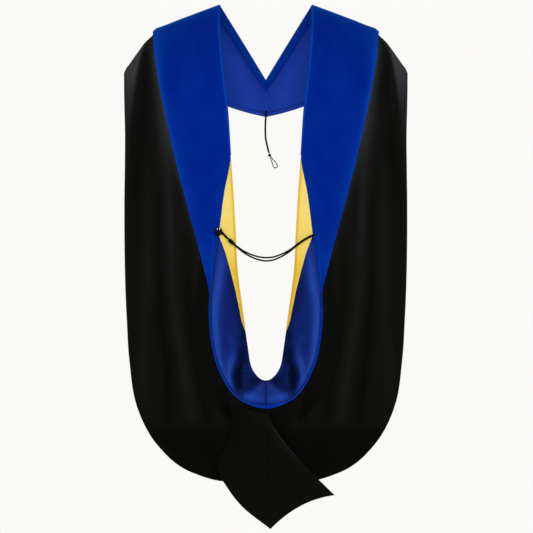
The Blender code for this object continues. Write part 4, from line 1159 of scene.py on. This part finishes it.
# %% Satin lining
LINING_COLUMNS, LINING_STEP = 46, 0.03
LINING_TONE, RIM_SHADE, RIM_SHADE_WIDTH = 0.56, 0.45, 0.0013
LIP_STATIONS, LIP_POWERS, FOLD_FADE = [6.2, 9.0, 11.0], [1.7, 1.5, 1.0], 0.7
LINING_FOLDS = [
    Fold(0.0010, 2, [
        FoldPoint(0.0844, -0.4700, 0.0060, 0.0080, 0.16), FoldPoint(0.0844, -0.5000, 0.0070, 0.0080, 0.34),
        FoldPoint(0.0892, -0.5438, 0.0090, 0.0100, 0.37), FoldPoint(0.0949, -0.5724, 0.0100, 0.0120, 0.36),
        FoldPoint(0.0977, -0.6105, 0.0100, 0.0120, 0.38), FoldPoint(0.0953, -0.6391, 0.0085, 0.0110, 0.38),
        FoldPoint(0.0922, -0.6677, 0.0065, 0.0100, 0.38), FoldPoint(0.0872, -0.6867, 0.0042, 0.0080, 0.36),
        FoldPoint(0.0815, -0.7058, 0.0045, 0.0070, 0.26), FoldPoint(0.0730, -0.7248, 0.0050, 0.0060, 0.16),
        FoldPoint(0.0634, -0.7401, 0.0040, 0.0050, 0.16), FoldPoint(0.0549, -0.7515, 0.0030, 0.0050, 0.08),
    ]),
    Fold(0.0040, 2, [
        FoldPoint(0.0640, -0.6450, 0.0060, 0.0060, 0.05), FoldPoint(0.0587, -0.6640, 0.0060, 0.0080, 0.16),
        FoldPoint(0.0625, -0.6867, 0.0070, 0.0085, 0.38), FoldPoint(0.0680, -0.7058, 0.0060, 0.0070, 0.38),
        FoldPoint(0.0682, -0.7248, 0.0050, 0.0050, 0.36), FoldPoint(0.0620, -0.7363, 0.0050, 0.0040, 0.14),
    ]),
    Fold(-0.0055, 2, [
        FoldPoint(0.0434, -0.6480, 0.0160, 0.0070, -0.22), FoldPoint(0.0425, -0.6677, 0.0160, 0.0100, -0.42),
        FoldPoint(0.0440, -0.6867, 0.0130, 0.0110, -0.44), FoldPoint(0.0485, -0.7058, 0.0080, 0.0120, -0.46),
        FoldPoint(0.0520, -0.7248, 0.0080, 0.0110, -0.48), FoldPoint(0.0510, -0.7401, 0.0070, 0.0090, -0.42),
        FoldPoint(0.0490, -0.7515, 0.0050, 0.0060, -0.30), FoldPoint(0.0460, -0.7580, 0.0030, 0.0040, -0.08),
    ]),
    Fold(-0.0040, 4, [
        FoldPoint(0.0400, -0.7150, 0.0120, 0.0180, -0.24), FoldPoint(0.0340, -0.7290, 0.0120, 0.0170, -0.27),
        FoldPoint(0.0200, -0.7280, 0.0120, 0.0115, -0.32), FoldPoint(0.0060, -0.7250, 0.0120, 0.0050, -0.32),
    ]),
    Fold(0.0040, 4, [
        FoldPoint(0.0400, -0.7610, 0.0105, 0.0100, 0.18), FoldPoint(0.0300, -0.7570, 0.0135, 0.0160, 0.26),
        FoldPoint(0.0200, -0.7510, 0.0145, 0.0200, 0.26), FoldPoint(0.0100, -0.7440, 0.0145, 0.0260, 0.24),
        FoldPoint(0.0000, -0.7390, 0.0120, 0.0300, 0.20),
    ]),
    Fold(0.0015, 2, [
        FoldPoint(0.0100, -0.7360, 0.0040, 0.0040, 0.14), FoldPoint(0.0190, -0.7460, 0.0045, 0.0040, 0.06),
        FoldPoint(0.0300, -0.7560, 0.0045, 0.0040, 0.12),
    ]),
    Fold(0.0020, 2, [
        FoldPoint(0.0400, -0.7010, 0.0055, 0.0050, 0.08), FoldPoint(0.0385, -0.7180, 0.0065, 0.0060, 0.16),
        FoldPoint(0.0375, -0.7320, 0.0060, 0.0050, 0.10),
    ]),
    Fold(0.0000, 2, [
        FoldPoint(0.0640, -0.5300, 0.0090, 0.0090, -0.26), FoldPoint(0.0549, -0.5724, 0.0110, 0.0130, -0.26),
        FoldPoint(0.0482, -0.6105, 0.0070, 0.0070, -0.28), FoldPoint(0.0425, -0.6400, 0.0100, 0.0090, -0.30),
    ]),
    Fold(-0.0020, 2, [
        FoldPoint(0.0000, -0.7260, 0.0022, 0.0022, -0.30), FoldPoint(0.0000, -0.7700, 0.0022, 0.0022, -0.40),
    ]),
]


def make_lining(name, side):
    stations = down_the_back(CORD_STATION + 0.05, LAST, LINING_STEP)
    section = back_sections(stations)
    hole, rim = pair(section.hole_x, section.hole_z), pair(section.inner_x, section.inner_z)
    share = gold_share(stations)
    inset = np.where(share > 0, LINING_INSET, 0.0)
    seam, rim = moved_in(hole + (rim - hole) * share[:, None], rim, inset, RIM_INSET)
    shares = spread_shares(LINING_COLUMNS)
    x, z = between(seam, rim, shares)
    x = np.maximum(x, 0.0)
    fade = np.sin(math.pi * np.clip(shares, 1e-6, 1 - 1e-6))[None, :] ** FOLD_FADE
    power = np.interp(stations, LIP_STATIONS, LIP_POWERS)[:, None]
    lift = section.lip[:, None] * np.sin(shares[None, :] * math.pi / 2) ** power
    fold_rise, fold_tone = folded(x, z, LINING_FOLDS)
    lift = np.maximum(lift + fold_rise * fade, 0.0)
    rim_gap = (1 - shares)[None, :] * np.linalg.norm(rim - seam, axis=-1)[:, None]
    tone = LINING_TONE + fold_tone - RIM_SHADE * np.exp(-((rim_gap / RIM_SHADE_WIDTH) ** 2))
    points = place(x, z, LINING_HEIGHT, lift)
    return make_cloth(name, [Patch(points, tone)], SATIN_THICK, blue_satin, side)


linings = {name: make_lining(f"satin_lining_{name}", side) for name, side in SIDES}

# %% [markdown]
# ## Outer side of the cowl, and the tail
#
# Under the velvet rim the black cloth falls from the cowl back to the panels. The tail is a strip of the
# same cloth that swings out to one side below the rim.

# %% Cowl wall
WALL_COLUMNS, WALL_FIRST, WALL_TONE = 22, 6.25, 0.14


def wall_rows(stations):
    section, nearby = back_sections(stations), back_sections(stations - 0.02)
    run = pair(section.outer_x - nearby.outer_x, section.outer_z - nearby.outer_z)
    run /= np.linalg.norm(run, axis=-1, keepdims=True)
    across = np.linspace(0, 1, WALL_COLUMNS)[None, :]
    reach = -2 * EDGE_INSET + (wall_width(stations)[:, None] + 2 * EDGE_INSET) * across
    fallen = (1 - np.cos(math.pi * across)) / 2
    height = WALL_TOP_HEIGHT + (WALL_FOOT_HEIGHT - WALL_TOP_HEIGHT) * fallen
    x = np.maximum(section.outer_x[:, None] - run[:, 1:] * reach, 0.0)
    z = section.outer_z[:, None] + run[:, :1] * reach
    return place(x, z, height, section.lip[:, None] * (1 - fallen))


right_rows = wall_rows(down_the_back(WALL_FIRST, LAST, 0.05))
left_rows = right_rows[-2::-1] * (-1, 1, 1)
wall_points = np.concatenate((right_rows, left_rows))
# The wall carries the painted highlight and shadow lines of the tail's root.
wall_tone = WALL_TONE + folded(np.abs(wall_points[..., 0]), wall_points[..., 2], ROOT_PAINTED_LINES)[1]
wall = make_cloth("cowl_outer_side", [Patch(wall_points, wall_tone)], SHELL_THICK, black_cloth)

# %% [markdown]
# The tail hangs from under the rim and turns as it falls. Each row of it is a parabola through a left, a
# middle and a right point, so that it bulges towards the viewer.

# %% Tail
TailSection = namedtuple(
    "TailSection", "left_x left_y left_z middle_x middle_y middle_z right_x right_y right_z"
)
TAIL = [
    TailSection(-0.0553, -0.1753, -0.7696, -0.0262, -0.1909, -0.7831, 0.0055, -0.1916, -0.7869),
    TailSection(-0.0623, -0.1475, -0.8078, -0.0262, -0.1850, -0.8116, 0.0137, -0.1895, -0.8088),
    TailSection(-0.0756, -0.1420, -0.8497, -0.0243, -0.1760, -0.8421, 0.0346, -0.1840, -0.8402),
    TailSection(-0.0918, -0.1420, -0.8909, -0.0167, -0.1700, -0.8782, 0.0574, -0.1780, -0.8678),
    TailSection(-0.0750, -0.1460, -0.9275, 0.0061, -0.1660, -0.9105, 0.0876, -0.1740, -0.9010),
    TailSection(-0.0421, -0.1500, -0.9686, 0.0327, -0.1640, -0.9466, 0.1108, -0.1700, -0.9236),
    TailSection(0.0090, -0.1540, -1.0086, 0.0669, -0.1620, -0.9637, 0.1306, -0.1660, -0.9434),
]
TAIL_COLUMNS, TAIL_STEPS = 60, 24
TAIL_TONE, CREASE_SHADE, EDGE_LIGHT, LEFT_SHADE = 0.14, 0.07, 0.20, 0.05
CREASE_X, CREASE_TOP, CREASE_FOOT, CREASE_WIDTH, CREASE_DEPTH = 0.0055, -0.80, -0.972, 0.0014, 0.0015
EDGE_LIGHT_WIDTH, EDGE_LIGHT_TOP = 0.007, -0.79
EDGE_LIGHT_Z, EDGE_LIGHT_SHARES = [-0.94, -0.88, -0.86], [0.10, 0.35, 1.0]

tail_section = curve_through(TAIL, np.linspace(0, len(TAIL) - 1, (len(TAIL) - 1) * TAIL_STEPS + 1))
columns = [np.stack(tail_section[start:start + 3], -1)[:, None] for start in (0, 3, 6)]
across = spread_shares(TAIL_COLUMNS)[None, :, None]
tail_points = (
    columns[0] * (1 - across) * (1 - 2 * across)
    + columns[1] * 4 * across * (1 - across)
    + columns[2] * across * (2 * across - 1)
)
tail_x, tail_z = tail_points[..., 0], tail_points[..., 2]
right_edge = np.linalg.norm(tail_points - columns[2], axis=-1)
crease = np.exp(-(((tail_x - CREASE_X) / CREASE_WIDTH) ** 2)) * ease((CREASE_TOP - tail_z) / 0.04)
crease = crease * ease((tail_z - CREASE_FOOT) / 0.03)
waves = 0.0010 * ripple(tail_x, tail_z, 0.12, 21) * ease(right_edge / 0.02)
tail_points[..., 1] += CREASE_DEPTH * crease - waves
# Painted light and shade on the tail: a highlight along its right edge, shade in the crease and on its left
# part, on a base a little darker than the panels'.
bright = ease((EDGE_LIGHT_TOP - tail_z) / 0.04) * np.interp(tail_z, EDGE_LIGHT_Z, EDGE_LIGHT_SHARES)
tail_tone = TAIL_TONE + EDGE_LIGHT * bright * np.exp(-right_edge / EDGE_LIGHT_WIDTH) - CREASE_SHADE * crease
tail_tone = tail_tone - LEFT_SHADE * ease((-0.02 - tail_x) / 0.04) * ease((tail_z + 0.93) / 0.05)
tail = make_cloth("hood_tail", [Patch(tail_points, tail_tone)], TAIL_THICK, black_cloth)

# %% [markdown]
# ## Stitches
#
# A hem is held by a row of small stitches, all alike and evenly spaced along a line. That is work for a
# node tree: it resamples the line at one pitch, puts a small slim bead of thread at each point and turns
# it along the line.

# %% Stitch tree
STITCH_PITCH, STITCH_LENGTH, STITCH_WIDTH = 0.0032, 0.0022, 0.0004

stitch_tree, given, result = group_with("running stitch", [
    ("Pitch", "NodeSocketFloat"), ("Stitch Size", "NodeSocketVector"), ("Material", "NodeSocketMaterial"),
])
even = even_curve(stitch_tree, given["Geometry"], given["Pitch"])
round_bead = {"Segments": 6, "Rings": 4, "Radius": 0.5}
bead = add_node(stitch_tree, "GeometryNodeMeshUVSphere", round_bead).outputs[0]
tangent = add_node(stitch_tree, "GeometryNodeInputTangent").outputs[0]
turned = add_node(stitch_tree, "FunctionNodeAlignRotationToVector", {"Vector": tangent}, axis="X").outputs[0]
placed = add_node(stitch_tree, "GeometryNodeInstanceOnPoints", {
    "Points": even, "Instance": bead, "Rotation": turned, "Scale": given["Stitch Size"],
}).outputs[0]
finish_tree(stitch_tree, placed, given["Material"], result)

navy_thread, tree, shader = new_material("navy thread", Roughness=0.6, Specular_IOR_Level=0.1)
shader.inputs["Base Color"].default_value = (0.003, 0.008, 0.045, 1.0)
black_thread, tree, shader = new_material("black thread", Roughness=0.6, Specular_IOR_Level=0.1)
shader.inputs["Base Color"].default_value = (0.012, 0.012, 0.012, 1.0)


def make_stitches(name, points, material, side=1):
    thing = line_object(name, np.asarray(points) * (side, 1, 1))
    size = (STITCH_LENGTH, STITCH_WIDTH, STITCH_WIDTH)
    return run_tree(thing, stitch_tree, {"Pitch": STITCH_PITCH, "Stitch Size": size, "Material": material})


# %% [markdown]
# The rows follow the hems: one along the lower edge of the facing, one round each panel and one across
# the end of the tail. Each line is read from the cloth that it is sewn to and lies on its outer face.

# %% Rows of stitches
PANEL_STITCH_IN, TAIL_STITCH_ROW, STITCH_FIRST, STITCH_LAST = 0.009, -8, 0.15, 11.8


def facing_stitch_line():
    section = curve_through(FRONT, np.linspace(WEDGE_LAST + 0.5, FRONT_LAST - 0.02, 60))
    inner, outer = pair(section.edge_x, section.edge_z), pair(section.outer_x, section.outer_z)
    _, at = moved_in(inner, outer, FACING_INSET, 2 * EDGE_INSET + FACING_HEM + FACING_LINE_GAP)
    return place(at[:, 0], at[:, 1], FACING_HEIGHT - SATIN_THICK / 2, 0.0, True)


def panel_stitch_line():
    stations = np.linspace(STITCH_FIRST, STITCH_LAST, 240)
    section = back_sections(stations)
    outer, hem = pair(section.outer_x, section.outer_z), pair(section.hem_x, section.hem_z)
    share = 1 - PANEL_STITCH_IN / np.linalg.norm(hem - outer, axis=-1)[:, None]
    start = np.where(stations > CORD_STATION, wall_width(stations) + WALL_CLEAR, 0.0)
    points = panel_grid(outer, hem, start, False, share)[0][:, 0]
    return points + form_normal(points[:, 0], points[:, 2], False) * SHELL_THICK / 2


stitches = {}
for name, side in SIDES:
    stitches[f"facing_stitches_{name}"] = make_stitches(
        f"facing_stitches_{name}", facing_stitch_line(), navy_thread, side)
    stitches[f"panel_stitches_{name}"] = make_stitches(
        f"panel_stitches_{name}", panel_stitch_line(), black_thread, side)
tail_line = tail_points[TAIL_STITCH_ROW, 1:-1] - (0.0, TAIL_THICK / 2, 0.0)
stitches["tail_stitches"] = make_stitches("tail_stitches", tail_line, black_thread)
for name, thing in stitches.items():
    print(name, "has", len(thing.data.polygons) // 24, "stitches")

# %% [markdown]
# ## Pieces and what they stand for
#
# Each piece takes the place of the plain solid that it dresses and rides on the model's one body.

# %% Riding and replacing
def stands_for(piece, slot, *nodes):
    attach(piece, "root")
    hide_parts(*nodes)


for name, _ in SIDES:
    stands_for(panels[name], "shell_cloth", f"shell_{name}")
    stands_for(velvets[name], "velvet", f"velvet_{name}")
    stands_for(facings[name], "blue_satin", f"facing_{name}")
    stands_for(golds[name], "gold_satin", f"gold_{name}")
    stands_for(linings[name], "blue_satin", f"lining_{name}")
stands_for(wall, "shell_cloth", "cowl_wall")
stands_for(tail, "shell_cloth", "tail")
stands_for(button, "button", "button")
stands_for(slide, "cord", "closure_slide")
stands_for(knot, "cord", "neck_knot")
stands_for(tack, "cord", "neck_tack")
for name, cord in cords.items():
    stands_for(cord, "cord", name.removesuffix("_cord"))
for name, thing in stitches.items():
    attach(thing, "root")

# %% [markdown]

# %% [markdown]
# ### Flat sizes
#
# Each cloth was cut flat before it was sewn and hung. The record of a cut gives the size of the smallest
# rectangle that it is cut from first, then the area of the cut itself, since none of them is a rectangle.

# %% Sheets
Cut = namedtuple("Cut", "width length area held on")

# %% [markdown]
# ## Floor and light
#
# The hood hangs as it does on a wearer, so the floor lies well below it. It is plain and pale. Two broad
# lights at the sides and one in front give soft light with a gentle fall-off into the folds, and a weak
# one behind lights the inside of the neck. Two small ones only show as the glints on the glossy button.

# %% Floor
FLOOR_Z, FLOOR_RADIUS = -1.46, 5.6
pale, tree, shader = new_material("pale floor", Roughness=0.9, Specular_IOR_Level=0.1)
grain = add_node(tree, "ShaderNodeTexNoise", {"Scale": 3.0, "Detail": 3.0}).outputs["Fac"]
tree.links.new(color_ramp(tree, grain, [(0.0, (0.86, 0.85, 0.84)), (1.0, (0.90, 0.89, 0.88))]),
               shader.inputs["Base Color"])
mesh = bmesh.new()
bmesh.ops.create_circle(mesh, cap_ends=True, segments=96, radius=FLOOR_RADIUS)
data = bpy.data.meshes.new("floor")
mesh.to_mesh(data)
mesh.free()
data.transform(Matrix.Translation((0, 0, FLOOR_Z)))
data.materials.append(pale)
floor = bpy.data.objects.new("floor", data)
bpy.context.scene.collection.objects.link(floor)
floor.visible_glossy = False

# %% [markdown]
# A helper makes each light, because they all are rectangles that aim at a point. The two small ones show in
# reflections only, and the ones in front and behind never do, so that the button has two clean glints.

# %% Light
def softbox(name, at, size, power, aim=(0.0, -0.1, -0.5)):
    lamp = bpy.data.lights.new(name, "AREA")
    lamp.shape = "RECTANGLE"
    lamp.size, lamp.size_y = size
    lamp.energy = power
    thing = bpy.data.objects.new(name, lamp)
    thing.location = at
    thing.rotation_euler = (Vector(aim) - Vector(at)).to_track_quat("-Z", "Y").to_euler()
    thing.visible_camera = False
    bpy.context.scene.collection.objects.link(thing)
    return thing


softbox("left softbox", (-2.3, -5.5, 2.2), (0.9, 0.9), 84)
softbox("right softbox", (2.3, -5.5, 2.2), (0.9, 0.9), 84)
front_light = softbox("front softbox", (0.0, -7.0, -0.7), (2.6, 1.2), 205)
front_light.visible_glossy = False
rear_light = softbox("rear softbox", (0.0, 4.5, 2.4), (3.0, 2.0), 95)
rear_light.visible_glossy = False
BUTTON_CENTRE = (BUTTON_AT[0], button_seat, BUTTON_AT[1])
for name, x, power in (("left glint", -0.70, 22), ("right glint", 0.52, 50)):
    glint = softbox(name, (x, -1.53, 0.86), (0.5, 0.5), power, BUTTON_CENTRE)
    glint.visible_diffuse = False

world = bpy.data.worlds.new("white studio")
bpy.context.scene.world = world
world.use_nodes = True
BACKDROP_COLOR, AMBIENT_COLOR, AMBIENT = (0.957, 0.948, 0.930, 1.0), (0.96, 0.97, 1.0, 1.0), 0.20
tree = world.node_tree
seen = tree.nodes["Background"]
seen.inputs["Color"].default_value = BACKDROP_COLOR
ambient = add_node(tree, "ShaderNodeBackground", {"Color": AMBIENT_COLOR, "Strength": AMBIENT})
is_seen = add_node(tree, "ShaderNodeLightPath").outputs["Is Camera Ray"]
mixed = add_node(tree, "ShaderNodeMixShader", {0: is_seen, 1: ambient.outputs[0], 2: seen.outputs[0]})
tree.links.new(mixed.outputs[0], tree.nodes["World Output"].inputs["Surface"])
bpy.context.scene.view_settings.view_transform = "Standard"
